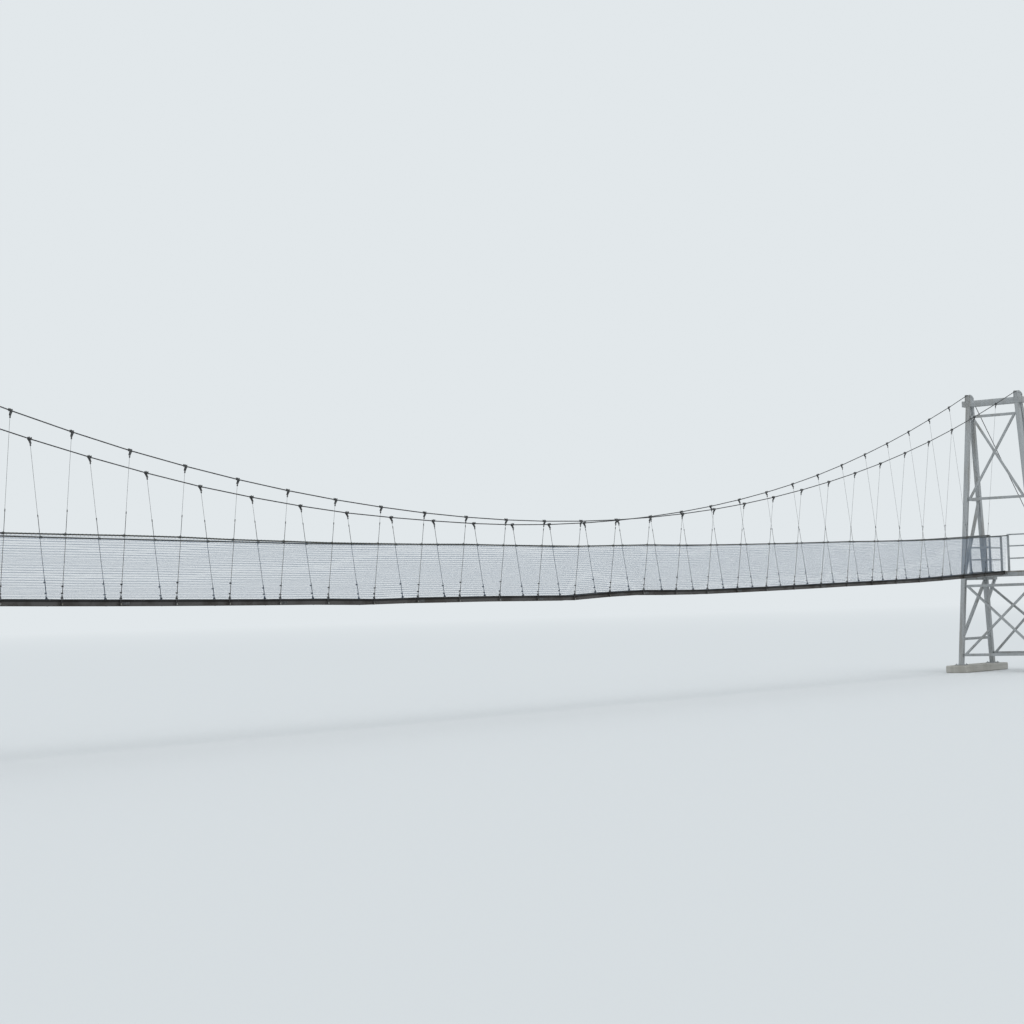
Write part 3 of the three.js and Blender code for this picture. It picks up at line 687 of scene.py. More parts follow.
CABLE_LAY = 0.11
for side in SIDES:
    span = [cable_point(side, x) for x in STATIONS]
    route = [*reversed(over_saddle(-1, side)), *span, *over_saddle(1, side)]
    path = resampled(route, CABLE_LAY / 12)
    cable = one_rope(f"wire_rope_{side}", path, CABLE_DIAMETER,
                     sides=12, radii=STRAND_RADII, lay=CABLE_LAY)
    finished(cable, CABLE_STEEL, [f"main_cable_{side}"], ROPE_SMOOTH)

# %% [markdown]
# The hangers are thin wire. Each one has an eye round a thimble under its clamp, comes down to
# the hand rope, passes round it and runs back up beside itself to a ferrule. From the hand rope a
# sling of two wires goes on to the foot, and its tail lies beside it to above the second clip.
# The photograph shows it: a thin line at the top, a darker one below the ferrule, and the darkest
# at the foot. No two hangers were clamped at quite the same height. A neck is the distance from
# an eye or from the hand rope to where the wires round it lie side by side again.

# %% Hangers
WIRE = real(0.0066)
SLING_WIRE = real(0.006)
TOP_EYE = real(0.088)
FOOT_EYE = real(0.128)
EYE_RADIUS = real(0.018)
FOOT_HEIGHT = -real(0.058) + 0.0008
FERRULE_OVER_ROPE = (real(0.44), real(0.03))
CLIPS_OVER_DECK = [(real(0.13), real(0.02)), (real(0.31), real(0.055))]
TAIL = real(0.07)
BESIDE = 0.55      # of a wire's thickness, from the hanger's line to each wire of a pair
TOP_NECK = real(0.035)
TOP_END = real(0.05)
ROPE_NECK_DOWN = real(0.07)
ROPE_NECK_UP = real(0.06)
SLING_TOP = real(0.05)
FOOT_NECK = real(0.06)
FOOT_END = real(0.07)


class HangerLine:
    """The straight line of one hanger, with its own directions"""
    def __init__(self, side, x):
        self.side, self.x = side, x
        self.top = cable_point(side, x)
        self.foot = side_point(side, x, FOOT_HEIGHT)
        self.length = (self.foot - self.top).length
        self.down = (self.foot - self.top).normalized()
        self.along = Vector((1, 0, 0))
        self.out = Vector((0, SIDES[side], 0))
        self.out = (self.out - self.down * self.out.dot(self.down)).normalized()
        self.to_deck = self.length + FOOT_HEIGHT / math.cos(lean(side, x))
        self.to_rope = self.to_deck - hand_rope_height(side, x) / math.cos(lean(side, x))
        self.ferrule = self.to_rope - self.uneven(*FERRULE_OVER_ROPE, 0)
        self.clips = [self.to_deck - self.uneven(*height, number)
                      for number, height in enumerate(CLIPS_OVER_DECK, start=1)]

    def uneven(self, height, spread, number):
        return height + spread * math.sin(7 * self.x + 2 * SIDES[self.side] + number)

    def at(self, down, along=0.0, out=0.0):
        return self.top + self.down * down + self.along * along + self.out * out

    def eye(self, centre, way):
        """Three quarters of a loop round a thimble, open downwards (1) or upwards (-1)"""
        turns = [math.radians(a) for a in (-125, -90, -45, 0, 45, 90, 125)]
        return [self.at(centre - way * EYE_RADIUS * math.cos(a), EYE_RADIUS * math.sin(a))
                for a in turns]

    def upper_wire(self):
        beside = WIRE * BESIDE
        grip = HAND_ROPE_DIAMETER / 2 + WIRE / 2
        around = [math.radians(a) for a in range(-30, 241, 30)]
        loop = [self.at(self.to_rope + grip * math.sin(a), 0, grip * math.cos(a) - HAND_ROPE_INSET)
                for a in around]
        return [
            self.at(TOP_EYE + TOP_END, beside), self.at(TOP_EYE + TOP_NECK, beside),
            *reversed(self.eye(TOP_EYE, 1)), self.at(TOP_EYE + TOP_NECK, -beside),
            self.at(self.to_rope - ROPE_NECK_DOWN, -beside), *loop,
            self.at(self.to_rope - ROPE_NECK_UP, beside), self.at(self.ferrule, beside)]

    def lower_wire(self):
        """The sling, from its end by the thimble up to the hand rope, down and round"""
        beside = SLING_WIRE * BESIDE
        eye = self.length - FOOT_EYE
        return [
            self.at(eye - FOOT_END, beside), self.at(self.to_rope, beside, WIRE),
            self.at(self.to_rope - SLING_TOP, 0, WIRE), self.at(self.to_rope, -beside, WIRE),
            self.at(eye - FOOT_NECK, -beside), *self.eye(eye, -1),
            self.at(eye - FOOT_NECK, 3 * beside), self.at(self.clips[1] - TAIL, 3 * beside)]


hangers = {side: [HangerLine(side, x) for x in STATIONS] for side in SIDES}
for side, lines in hangers.items():
    ropes = Ropes()
    for line in lines:
        across = line.out + line.along * 0.3
        ropes.add(line.upper_wire(), WIRE, across=across)
        ropes.add(line.lower_wire(), SLING_WIRE, across=across)
    wires = ropes.piece(f"hanger_wires_{side}")
    finished(wires, HANGER_STEEL, smooth=WIRE_SMOOTH)

# %% [markdown]
# A clamp sits astride the cable: a saddle cap above, four bolts that stand up like short horns,
# and a jaw on the outer side. Two tapering cheeks hang from the jaw and lean in to the hanger.
# The thimble is a ring, pulled to a drop shape by moving its lowest corners down. One clamp is
# modelled at its real size, with its outer side towards -Y, and copied to all the hangers.

# %% Cable clamps
def thimble(centre):
    """A ring with its lower half drawn out to a point"""
    drop = ring(0.016, 0.0055, (0, 0, centre), "y", segments=10, sides=5)
    mesh = edit(drop, "VERT")
    for corner in mesh.verts:
        low = centre - corner.co.z
        if low > 0.006:
            corner.co.x *= 1 - min(1.0, low / 0.03)
            corner.co.z -= low * 0.9
    bmesh.update_edit_mesh(drop.data)
    return only(drop)


PIN_Z = -0.073
CHEEK_LEAN = 0.4


def clamp_pattern():
    sleeve = rod(0.019, 0.07, (0, 0, 0), "x", sides=12, bevel=0.003)
    cap = block((0.074, 0.052, 0.012), (0, 0, 0.017), bevel=0.003)
    jaw = block((0.062, 0.034, 0.026), (0, -0.03, -0.005), bevel=0.003)
    taper = [(-0.03, -0.004), (0.03, -0.004), (0.024, -0.03), (0.018, -0.096), (-0.018, -0.096),
             (-0.024, -0.03)]
    cheeks = [extruded("cheek", [(x, y - CHEEK_LEAN * (z - PIN_Z), z) for x, z in taper],
                       [(0, 0.006, 0)]) for y in (-0.014, 0.008)]
    pin = rod(0.007, 0.038, (0, 0, PIN_Z), "y")
    holes = [(x, y) for x in (-0.027, 0.027) for y in (-0.02, 0.02)]
    bolts = [rod(0.007, 0.06, (x, y, 0.007), "z", sides=6) for x, y in holes]
    nuts = [rod(0.0115, 0.011, (x, y, 0.028), "z", sides=6) for x, y in holes]
    ferrule = rod(0.0155, 0.04, (0, 0, -0.124), "z", bevel=0.004)
    return joined("clamp_pattern", [sleeve, cap, jaw, *cheeks, pin, *bolts, *nuts, ferrule,
                                    thimble(-0.088)])


def clamp_place(line):
    """A clamp's X follows the cable and its Z the hanger, which aren't quite square"""
    ahead = cable_point(line.side, line.x + 0.05) - cable_point(line.side, line.x - 0.05)
    return standing(line.top, -SIDES[line.side] * ahead, -line.down, square=False)


clamps = {f"cable_clamps_{side}": [clamp_place(line) for line in lines]
          for side, lines in hangers.items()}
set_out(clamp_pattern(), clamps, FITTING_STEEL, FITTING_SMOOTH)

# %% [markdown]
# A wire clip is a small saddle, a U-bolt and two nuts. There are 132, so it has few faces. The U
# starts as a ring: bisect takes half away, and extrude makes its legs. Two clips grip the three
# wires at each foot, and a ferrule is pressed round the upper wire's end.

# %% Wire clips
def clip_pattern():
    saddle = block((0.034, 0.013, 0.024), (0, -0.008, 0))
    bow = ring(0.0115, 0.0035, (0, 0, 0), "z", segments=8, sides=4)
    edit(bow, action="SELECT")
    bpy.ops.mesh.bisect(plane_co=(0, 0, 0), plane_no=(0, 1, 0), clear_inner=True)
    pick(bow, "EDGE", lambda edge: edge.is_boundary)
    bpy.ops.mesh.extrude_region_move(TRANSFORM_OT_translate={"value": (0, -0.026, 0)})
    bpy.ops.mesh.edge_face_add()
    outward(bow)
    nuts = [rod(0.0072, 0.009, (x, -0.019, 0), "y", sides=6) for x in (-0.0115, 0.0115)]
    return joined("clip_pattern", [saddle, bow, *nuts])


CLIP_SIZE = Matrix.Scale(1.2, 4)
clips, ferrules = {}, {}
for side, lines in hangers.items():
    clips[f"wire_clips_{side}"] = [
        standing(line.at(down, SLING_WIRE * BESIDE), line.along, line.down) @ CLIP_SIZE
        for line in lines for down in line.clips]
    ferrules[f"ferrules_{side}"] = [
        standing(line.at(line.ferrule), line.along, line.down) for line in lines]
set_out(clip_pattern(), clips, FITTING_STEEL, STEEL_SMOOTH)
ferrule = rod(0.01, 0.05, (0, 0, 0), "z", bevel=0.003)
set_out(ferrule, ferrules, FITTING_STEEL, STEEL_SMOOTH)

# %% [markdown]
# At its foot each hanger is shackled to an eye bolt that goes through the end of a crossbeam. A
# sleeve and a binding keep the wire from slipping along the hand rope.

# %% Foot shackles and hand rope ties
def foot_pattern():
    shank = rod(0.006, 0.126, (0, 0, 0.006), "z")
    nuts = [rod(0.0135, 0.011, (0, 0, z), "z", sides=6) for z in (-0.0555, 0.009)]
    washer = rod(0.018, 0.004, (0, 0, 0.002), "z", sides=10)
    eye = ring(0.0125, 0.005, (0, 0, 0.083), "x")
    shackle = ring(0.017, 0.0075, (0, 0, 0.107), "y", segments=12)
    pin = rod(0.008, 0.056, (0, 0, 0.091), "y", sides=8)
    heads = [rod(0.014, 0.01, (0, y, 0.091), "y", sides=6) for y in (-0.025, 0.025)]
    return joined("foot_pattern", [shank, *nuts, washer, eye, shackle, pin, *heads,
                                   thimble(0.128)])


def tie_pattern():
    sleeve = rod(0.0205, 0.075, (0, 0, 0), "x", sides=12, bevel=0.004)
    turns = [ring(0.022, 0.003, (x, 0, 0), "x", segments=12, sides=4) for x in (-0.02, 0, 0.02)]
    return joined("tie_pattern", [sleeve, *turns])


shackles, ties = {}, {}
for side, lines in hangers.items():
    shackles[f"foot_shackles_{side}"] = [
        standing(line.foot, line.along, -line.down) for line in lines]
    ties[f"rope_ties_{side}"] = [
        standing(line.at(line.to_rope, 0, -HAND_ROPE_INSET), line.along, -line.down)
        for line in lines]
set_out(foot_pattern(), shackles, FITTING_STEEL, FITTING_SMOOTH)
set_out(tie_pattern(), ties, ROPE_SLEEVE, FITTING_SMOOTH)

# %% [markdown]
# The hand ropes are three thick strands. Four corners to a strand give it a round back, and the
# deep groove between two strands catches the shade, which is also painted into its colour.

# %% Hand ropes
HAND_ROPE_LAY = real(0.13)
THREE_STRANDS = (1.0, 0.97, 0.8, 0.97)
TOWER_TO_TOWER = [-HALF_SPAN + GAP, *STATIONS, HALF_SPAN - GAP]
for side in SIDES:
    route = [side_point(side, x, hand_rope_height(side, x), HAND_ROPE_INSET)
             for x in TOWER_TO_TOWER]
    path = resampled(route, HAND_ROPE_LAY / 10)
    rope = one_rope(f"laid_rope_{side}", path, HAND_ROPE_DIAMETER,
                    sides=12, radii=THREE_STRANDS, lay=HAND_ROPE_LAY)
    finished(rope, HAND_ROPE, [f"hand_rope_{side}"], ROPE_SMOOTH)

# %% [markdown]
# The side nets have long cords five centimetres apart, and thin cross twines at half that. Each
# strand is its own thin tube. The photograph shows the long cords, and of the cross twines only
# a veil. Between two hangers the net bellies out a little, because only its edges are tied.

# %% Side nets
NET_STATIONS = [-BAYS_TO_TOWER, -6, 6, BAYS_TO_TOWER]
MESH = real(0.05)
LONG_TWINE = real(0.0045)
CROSS_TWINE = real(0.002)
NET_BOTTOM = real(0.012)
NET_BELLY = real(0.016)
NET_SLACK = real(0.003)
LACED_GAP = real(0.018)
ROW_STEPS = 5
TWINE_STEPS = 5


def net_top(side, x):
    return hand_rope_height(side, x) - HAND_ROPE_DIAMETER / 2 - LACED_GAP


def net_point(side, x, share):
    """A point of the net, at a share of its height"""
    height = NET_BOTTOM + (net_top(side, x) - NET_BOTTOM) * share
    across = math.sin(math.pi * (x / BAY % 1))
    ripple = 1 + 0.2 * math.sin(9 * x + 12 * height)
    belly = NET_BELLY * math.sin(math.pi * share) * across * ripple
    slack = NET_SLACK * across * math.sin(3.1 * x + 9 * height)
    return side_point(side, x, height + slack, HAND_ROPE_INSET - belly)


def net_panel(side, number):
    start, end = NET_STATIONS[number] * BAY + GAP, NET_STATIONS[number + 1] * BAY - GAP
    ropes = Ropes()
    rows = round((net_top(side, 0) - NET_BOTTOM) / MESH)
    steps = (NET_STATIONS[number + 1] - NET_STATIONS[number]) * ROW_STEPS
    places = np.linspace(start, end, steps + 1)
    for row in range(rows + 1):
        ropes.add([net_point(side, x, row / rows) for x in places], LONG_TWINE, sides=4)
    for x in np.linspace(start, end, round(2 * (end - start) / MESH) + 1):
        strand = [net_point(side, x, share) for share in np.linspace(0, 1, TWINE_STEPS + 1)]
        ropes.add(strand, CROSS_TWINE, sides=3, across=(1, 0, 0))
    return ropes.piece(f"net_mesh_{side}_{number + 1}")


for side in SIDES:
    for number in range(len(NET_STATIONS) - 1):
        panel = net_panel(side, number)
        finished(panel, TWINE, [f"net_{side}_{number + 1}"], WIRE_SMOOTH)

# %% [markdown]
# A lacing cord winds round each hand rope and picks up the top of the net at every turn, and a
# dark hem cord holds the bottom of the net along the edge of the boards, partly as painted shade.

# %% Lacing and hem
LACING_PITCH = real(0.1)
LACING = real(0.004)
LACING_END = real(0.02)
LACING_DIP = real(0.02)
HEM = real(0.011)
CORNERS = 8        # of the lacing in each turn


def lacing_path(side):
    steps = round(2 * HALF_SPAN / LACING_PITCH) * CORNERS
    grip = HAND_ROPE_DIAMETER / 2 + LACING / 2
    path = []
    for i in range(steps + 1):
        x = -HALF_SPAN + LACING_END + 2 * (HALF_SPAN - LACING_END) * i / steps
        turn = 2 * math.pi * i / CORNERS
        drop = grip if math.sin(turn) > 0 else grip + LACING_DIP
        path.append(side_point(side, x, hand_rope_height(side, x) + drop * math.sin(turn),
                               HAND_ROPE_INSET + grip * math.cos(turn)))
    return path


for side in SIDES:
    lacing = one_rope(f"net_lacing_{side}", lacing_path(side), LACING, sides=4)
    finished(lacing, TWINE, smooth=WIRE_SMOOTH)
    edge = [side_point(side, x, HEM / 2, HAND_ROPE_INSET) for x in TOWER_TO_TOWER]
    hem = one_rope(f"net_hem_{side}", edge, HEM, sides=8)
    finished(hem, HEM_CORD, smooth=WIRE_SMOOTH)

# %% [markdown]
# The walkway is twelve rigid sections. Each has three ribbed boards, edged by a dark angle, on two
# channel rails with rungs between them. Their outlines are drawn once, across the bridge, and
# extruded from hanger to hanger, so a section bends where the real one does.

# %% Walkway sections
DECK_JOINTS = [-BAYS_TO_TOWER, -15, -12, -9, -6, -3, 0, 3, 6, 9, 12, 15, BAYS_TO_TOWER]
BOARD_HALF_WIDTH = real(0.21)
BOARD_THICKNESS = real(0.03)
BOARD_GAP = real(0.006)
RIB_PITCH = real(0.0135)
RIB_DEPTH = real(0.003)
RAIL_OUTER = real(0.205)
RAIL_WIDTH = real(0.035)
RAIL_BOTTOM = real(0.115)
PLATE = real(0.005)
RUNG = real(0.03)
RUNG_DROP = real(0.016)
RUNG_START = real(0.12)
RUNG_END = real(0.1)
RUNGS_IN_A_BAY = 4
SECTION_GAP = real(0.004)


def ribbed(start, end, ribs, depth):
    """The top of a board from edge to edge: flat ribs with narrow grooves between them"""
    step = (end - start) / ribs
    points = []
    for i in range(ribs):
        left = start + step * i
        points += [(left, -depth), (left + step * 0.2, 0), (left + step * 0.8, 0)]
    return [*points, (end, -depth)]


def board_outline(left, right):
    """A board's section: flat below, ribs on top"""
    ribs = round((right - left) / RIB_PITCH)
    return [(left, -BOARD_THICKNESS), (right, -BOARD_THICKNESS),
            *reversed(ribbed(left, right, ribs, RIB_DEPTH))]


def channel_outline():
    """A channel rail's section, its back towards the outside"""
    back, lip = RAIL_OUTER, RAIL_OUTER - RAIL_WIDTH
    top, bottom = -BOARD_THICKNESS, -RAIL_BOTTOM
    return [(back, bottom), (back, top), (lip, top), (lip, top - PLATE),
            (back - PLATE, top - PLATE), (back - PLATE, bottom + PLATE),
            (lip, bottom + PLATE), (lip, bottom)]


def angle_outline():
    """The dark angle that edges the boards"""
    points = [(0.207, -0.036), (0.213, -0.036), (0.213, 0.005), (0.18, 0.005), (0.18, 0.001),
              (0.207, 0.001)]
    return [(real(y), real(z)) for y, z in points]


def along_deck(name, outline, places, side=1):
    """A section drawn across the bridge at its first place and extruded to the others"""
    start = places[0]
    points = [(start, side * y, deck_top(start) + z) for y, z in outline]
    steps = [(b - a, 0, deck_top(b) - deck_top(a)) for a, b in zip(places, places[1:])]
    return extruded(name, points, steps)


def section_places(number):
    first, last = DECK_JOINTS[number], DECK_JOINTS[number + 1]
    inner = [k * BAY for k in range(first + 1, last)]
    return [first * BAY + SECTION_GAP / 2, *inner, last * BAY - SECTION_GAP / 2]


width = (2 * BOARD_HALF_WIDTH - 2 * BOARD_GAP) / 3
lefts = [-BOARD_HALF_WIDTH + i * (width + BOARD_GAP) for i in range(3)]
for number in range(len(DECK_JOINTS) - 1):
    places = section_places(number)
    label = f"{number + 1:02d}"
    boards = [along_deck("board", board_outline(y, y + width), places) for y in lefts]
    finished(joined(f"walkway_boards_{label}", boards), BOARD_METAL,
             [f"deck_section_{label}"])
    angles = [along_deck("angle", angle_outline(), places, side) for side in SIDES.values()]
    # The angles' near-black colour is painted shade along the edge of the boards.
    finished(joined(f"walkway_edges_{label}", angles), EDGE_PAINTED_SHADE)
    rails = [along_deck("rail", channel_outline(), places, side) for side in SIDES.values()]
    rungs = []
    for x in np.arange(places[0] + RUNG_START, places[-1] - RUNG_END, BAY / RUNGS_IN_A_BAY):
        level = deck_top(x) - BOARD_THICKNESS - RUNG_DROP
        rungs.append(block((RUNG, 2 * (RAIL_OUTER - PLATE), RUNG), (x, 0, level)))
    finished(joined(f"walkway_rails_{label}", rails + rungs), RAIL_METAL)

# %% [markdown]
# A crossbeam is a square tube: a block whose ends are inset and pushed in, with a pale cap a
# little way in. Cleats and bolts hold it to the rails. A bolted plate stiffens each rail beside a
# joint of two sections, where the cleat leaves it room.

# %% Crossbeams and joint plates
CROSSBEAM_HALF_LENGTH = 0.262
CROSSBEAM_WIDTH = 0.05
CROSSBEAM_MIDDLE = -0.083
FISH_PLATE_PLACE = real(0.16)


def crossbeam_pattern():
    beam = block((CROSSBEAM_WIDTH, 2 * CROSSBEAM_HALF_LENGTH, CROSSBEAM_WIDTH),
                 (0, 0, CROSSBEAM_MIDDLE))
    pick(beam, "FACE", lambda face: abs(face.normal.y) > 0.9)
    bpy.ops.mesh.inset(thickness=0.004)
    bpy.ops.mesh.extrude_region_shrink_fatten(TRANSFORM_OT_shrink_fatten={"value": -0.09})
    parts = [only(beam)]
    for side in (-1, 1):
        parts.append(block((0.12, 0.006, 0.066), (0, side * 0.2085, -0.078), bevel=0.002))
        for x in (-0.044, 0.044):
            parts.append(rod(0.008, 0.012, (x, side * 0.2145, -0.078), "y", sides=6))
    return joined("crossbeam_pattern", parts)


def fishplate_pattern():
    parts = []
    for side in (-1, 1):
        parts.append(block((0.2, 0.005, 0.055), (0, side * 0.2078, -0.066), bevel=0.0015))
        for x in (-0.075, -0.035, 0.035, 0.075):
            parts.append(rod(0.007, 0.01, (x, side * 0.213, -0.066), "y", sides=6))
    return joined("fishplate_pattern", parts)


def cap_pattern():
    return joined("cap_pattern", [
        block((0.042, 0.005, 0.042), (0, side * (CROSSBEAM_HALF_LENGTH - 0.012), CROSSBEAM_MIDDLE))
        for side in (-1, 1)])


def deck_place(x):
    ahead = (0.1, 0, deck_top(x + 0.05) - deck_top(x - 0.05))
    return standing((x, 0, deck_top(x)), ahead, (0, 0, 1))


beams = [deck_place(x) for x in STATIONS]
set_out(crossbeam_pattern(), {"crossbeams": beams}, RAIL_METAL, STEEL_SMOOTH)
set_out(cap_pattern(), {"crossbeam_caps": beams}, LANDING_METAL)
joints = [deck_place(k * BAY + FISH_PLATE_PLACE) for k in DECK_JOINTS[1:-1]]
set_out(fishplate_pattern(), {"fish_plates": joints}, FITTING_STEEL,
        STEEL_SMOOTH)

# %% [markdown]
# The towers' solids have the right shape already, only too sharp. A copy of each is merged, its
# flat triangles are dissolved into whole faces, and a Bevel modifier rounds the edges, so that
# every edge catches a line of light as rolled steel does.

# %% Rounded copies of the towers' solids
def rounded(node, name, width, segments=2):
    obj = bpy.data.objects.new(name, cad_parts[node].data.copy())
    bpy.context.collection.objects.link(obj)
    edit(obj, action="SELECT")
    bpy.ops.mesh.remove_doubles(threshold=0.00001)
    bpy.ops.mesh.dissolve_limited(angle_limit=math.radians(1))
    return modify(obj, "BEVEL", width=width, segments=segments, limit_method="ANGLE",
                  angle_limit=math.radians(25))


STEEL_EDGE = real(0.008)
CONCRETE_EDGE = real(0.03)
for end in ENDS:
    nodes = [f"{kind}_{end}" for kind in
             ("saddle_beam", "portal_brace", "front_brace", "rear_brace")]
    nodes += [f"{kind}_{end}_{side}" for kind in ("trestle", "guard_rail") for side in SIDES]
    for node in nodes:
        piece = rounded(node, f"steel_{node}", STEEL_EDGE)
        finished(piece, GALVANISED, [node], STEEL_SMOOTH)
    for node in (f"anchor_block_{end}", *(f"footing_{end}_{side}" for side in SIDES)):
        piece = rounded(node, f"cast_{node}", CONCRETE_EDGE, segments=1)
        finished(piece, CONCRETE, [node])

# %% [markdown]
# A landing is twelve ribbed boards side by side, each with a row of screws. Under them four joists
# reach out to the arms of the tower, and a ledge takes the end of the walkway.

# %% Landings
LANDING_LENGTH = 2.4
LANDING_HALF_WIDTH = 1.15
LANDING_BOARDS = 12
LANDING_BOARD = 0.05
JOIST_PLACES = [0.3, 1.15, 1.95, 2.3]
JOIST_HALF_LENGTH = 1.4
LANDING_BOARD_GAP = 0.008
LANDING_RIBS = 8
LANDING_RIB_DEPTH = 0.004


def landing_board_pattern():
    half = (LANDING_LENGTH / LANDING_BOARDS - LANDING_BOARD_GAP) / 2
    points = [(half, -LANDING_BOARD), (-half, -LANDING_BOARD),
              *ribbed(-half, half, LANDING_RIBS, LANDING_RIB_DEPTH)]
    outline = [(x, -LANDING_HALF_WIDTH, z) for x, z in points]
    board = extruded("landing_board", outline, [(0, 2 * LANDING_HALF_WIDTH, 0)])
    screws = [rod(0.009, 0.006, (0, y, 0.0015), "z") for y in (-1.02, -0.35, 0.35, 1.02)]
    return joined("landing_board_pattern", [board, *screws])


def landing_frame_pattern():
    """Joists as channels, a front beam and the ledge under the walkway"""
    joist = [(0.04, -0.05), (0.04, -0.17), (-0.04, -0.17), (-0.04, -0.162), (0.032, -0.162),
             (0.032, -0.058), (-0.04, -0.058), (-0.04, -0.05)]
    parts = []
    for place in JOIST_PLACES:
        outline = [(place + x, -JOIST_HALF_LENGTH, z) for x, z in joist]
        parts.append(extruded("joist", outline, [(0, 2 * JOIST_HALF_LENGTH, 0)]))
    parts.append(block((0.074, 2.3, 0.12), (0.04, 0, -0.11), bevel=0.004))
    parts.append(block((0.14, 0.7, 0.047), (-0.03, 0, -0.145), bevel=0.004))
    return joined("landing_frame_pattern", parts)


boards, joists, landings = {}, {}, {}
for end, way in ENDS.items():
    edge = standing((way * HALF_SPAN, 0, deck_top(HALF_SPAN)), (way, 0, 0), (0, 0, 1))
    steps = [way * real(LANDING_LENGTH * (i + 0.5) / LANDING_BOARDS)
             for i in range(LANDING_BOARDS)]
    boards[f"landing_boards_{end}"] = [Matrix.Translation((x, 0, 0)) @ edge for x in steps]
    joists[f"landing_joists_{end}"] = [edge]
    landings[f"landing_boards_{end}"] = f"landing_{end}"
set_out(landing_board_pattern(), boards, LANDING_METAL, STEEL_SMOOTH, landings)
set_out(landing_frame_pattern(), joists, GALVANISED, STEEL_SMOOTH)

# %% [markdown]
# Steel is bolted to concrete and to steel: four bolts on each base plate, four on each anchor
# plate and three in each saddle cheek. `bolts` gathers their places, piece by piece, so that one
# bolt can be copied to all of them at the end.

# %% Places of the base bolts
LEG_SPLAY = 0.075
REAR_LEG_TOP = real(0.18)
REAR_LEG_RAKE = 0.24
BEAM_TOP = SADDLE_CENTRE_Z + SADDLE_RADIUS - real(0.2)
BEAM_BOTTOM = BEAM_TOP - real(0.2)
LEG_TOP = BEAM_BOTTOM - GAP
LEG_FOOT = real(0.25) + GAP
PLATE_TOP = LEG_FOOT + real(0.03)
BOLT_REACH = real(0.125)


def leg_foot(way, side, rear):
    rake = REAR_LEG_TOP + REAR_LEG_RAKE * (LEG_TOP - LEG_FOOT) if rear else 0
    y = CABLE_HALF_WIDTH_TOWER + LEG_SPLAY * (LEG_TOP - LEG_FOOT)
    return Vector((way * (HALF_SPAN + rake), SIDES[side] * y, PLATE_TOP))


bolts = {}
for end, way in ENDS.items():
    feet = [leg_foot(way, side, rear) for side in SIDES for rear in (False, True)]
    bolts[f"base_bolts_{end}"] = [
        standing(foot + Vector((x, y, 0)), (1, 0, 0), (0, 0, 1)) for foot in feet
        for x in (-BOLT_REACH, BOLT_REACH) for y in (-BOLT_REACH, BOLT_REACH)]
print("base bolts:", {name: len(places) for name, places in bolts.items()})

# %% [markdown]
# Each backstay ends in a cone-shaped socket, and a turnbuckle draws it tight: two side bars
# between two bosses, with a screw at each end. Its fork is pinned to a lug on a steel plate.

# %% Turnbuckles and anchor plates
def turnbuckle_pattern():
    """Along +X from the face of the anchor block, at its real size"""
    plate = block((0.024, 0.34, 0.34), (0.012, 0, 0), bevel=0.004)
    lug = block((0.15, 0.022, 0.11), (0.09, 0, 0), bevel=0.006)
    pins = [rod(0.016, 0.1, (x, 0, 0), "y", sides=10) for x in (0.13, 1.02)]
    forks = [block((0.13, 0.014, 0.06), (x, y, 0), bevel=0.004)
             for x in (0.16, 0.99) for y in (-0.025, 0.025)]
    heads = [block((0.04, 0.066, 0.06), (x, 0, 0), bevel=0.006) for x in (0.235, 0.915)]
    screws = [rod(0.015, 0.26, (x, 0, 0), "x", sides=10) for x in (0.35, 0.8)]
    bars = [block((0.46, 0.02, 0.032), (0.575, y, 0), bevel=0.005) for y in (-0.034, 0.034)]
    bosses = [rod(0.036, 0.07, (x, 0, 0), "x", sides=12, bevel=0.006) for x in (0.37, 0.78)]
    socket = blank(bpy.ops.mesh.primitive_cone_add, (1.15, 0, 0), "x",
                   vertices=14, radius1=0.042, radius2=0.018, depth=0.2)
    ear = block((0.08, 0.03, 0.06), (1.04, 0, 0), bevel=0.006)
    return joined("turnbuckle_pattern", [plate, lug, *pins, *forks, *heads, *screws, *bars,
                                         *bosses, socket, ear])


ANCHOR_BOLT_REACH = 0.065
ANCHOR_PLATE = real(0.024)
turnbuckles = {}
for end, way in ENDS.items():
    stands, studs = [], []
    for side in SIDES:
        seat = stay_point(way, side, 0)
        up = stay_point(way, side, 1) - seat
        stands.append(standing(seat, up, (0, 1, 0)))
        across = Vector((0, 1, 0)).cross(up)
        for a in (-ANCHOR_BOLT_REACH, ANCHOR_BOLT_REACH):
            for b in (-ANCHOR_BOLT_REACH, ANCHOR_BOLT_REACH):
                spot = seat + up * ANCHOR_PLATE + Vector((0, a, 0)) + across * b
                studs.append(standing(spot, (0, 1, 0), up))
    turnbuckles[f"turnbuckles_{end}"] = stands
    bolts[f"anchor_bolts_{end}"] = studs
set_out(turnbuckle_pattern(), turnbuckles, GALVANISED, STEEL_SMOOTH)

# %% [markdown]
# The cable lies in the groove of its saddle between two cheek plates. A cheek is an outline that
# follows the saddle's arc, a little higher than the cable, extruded by its thickness.

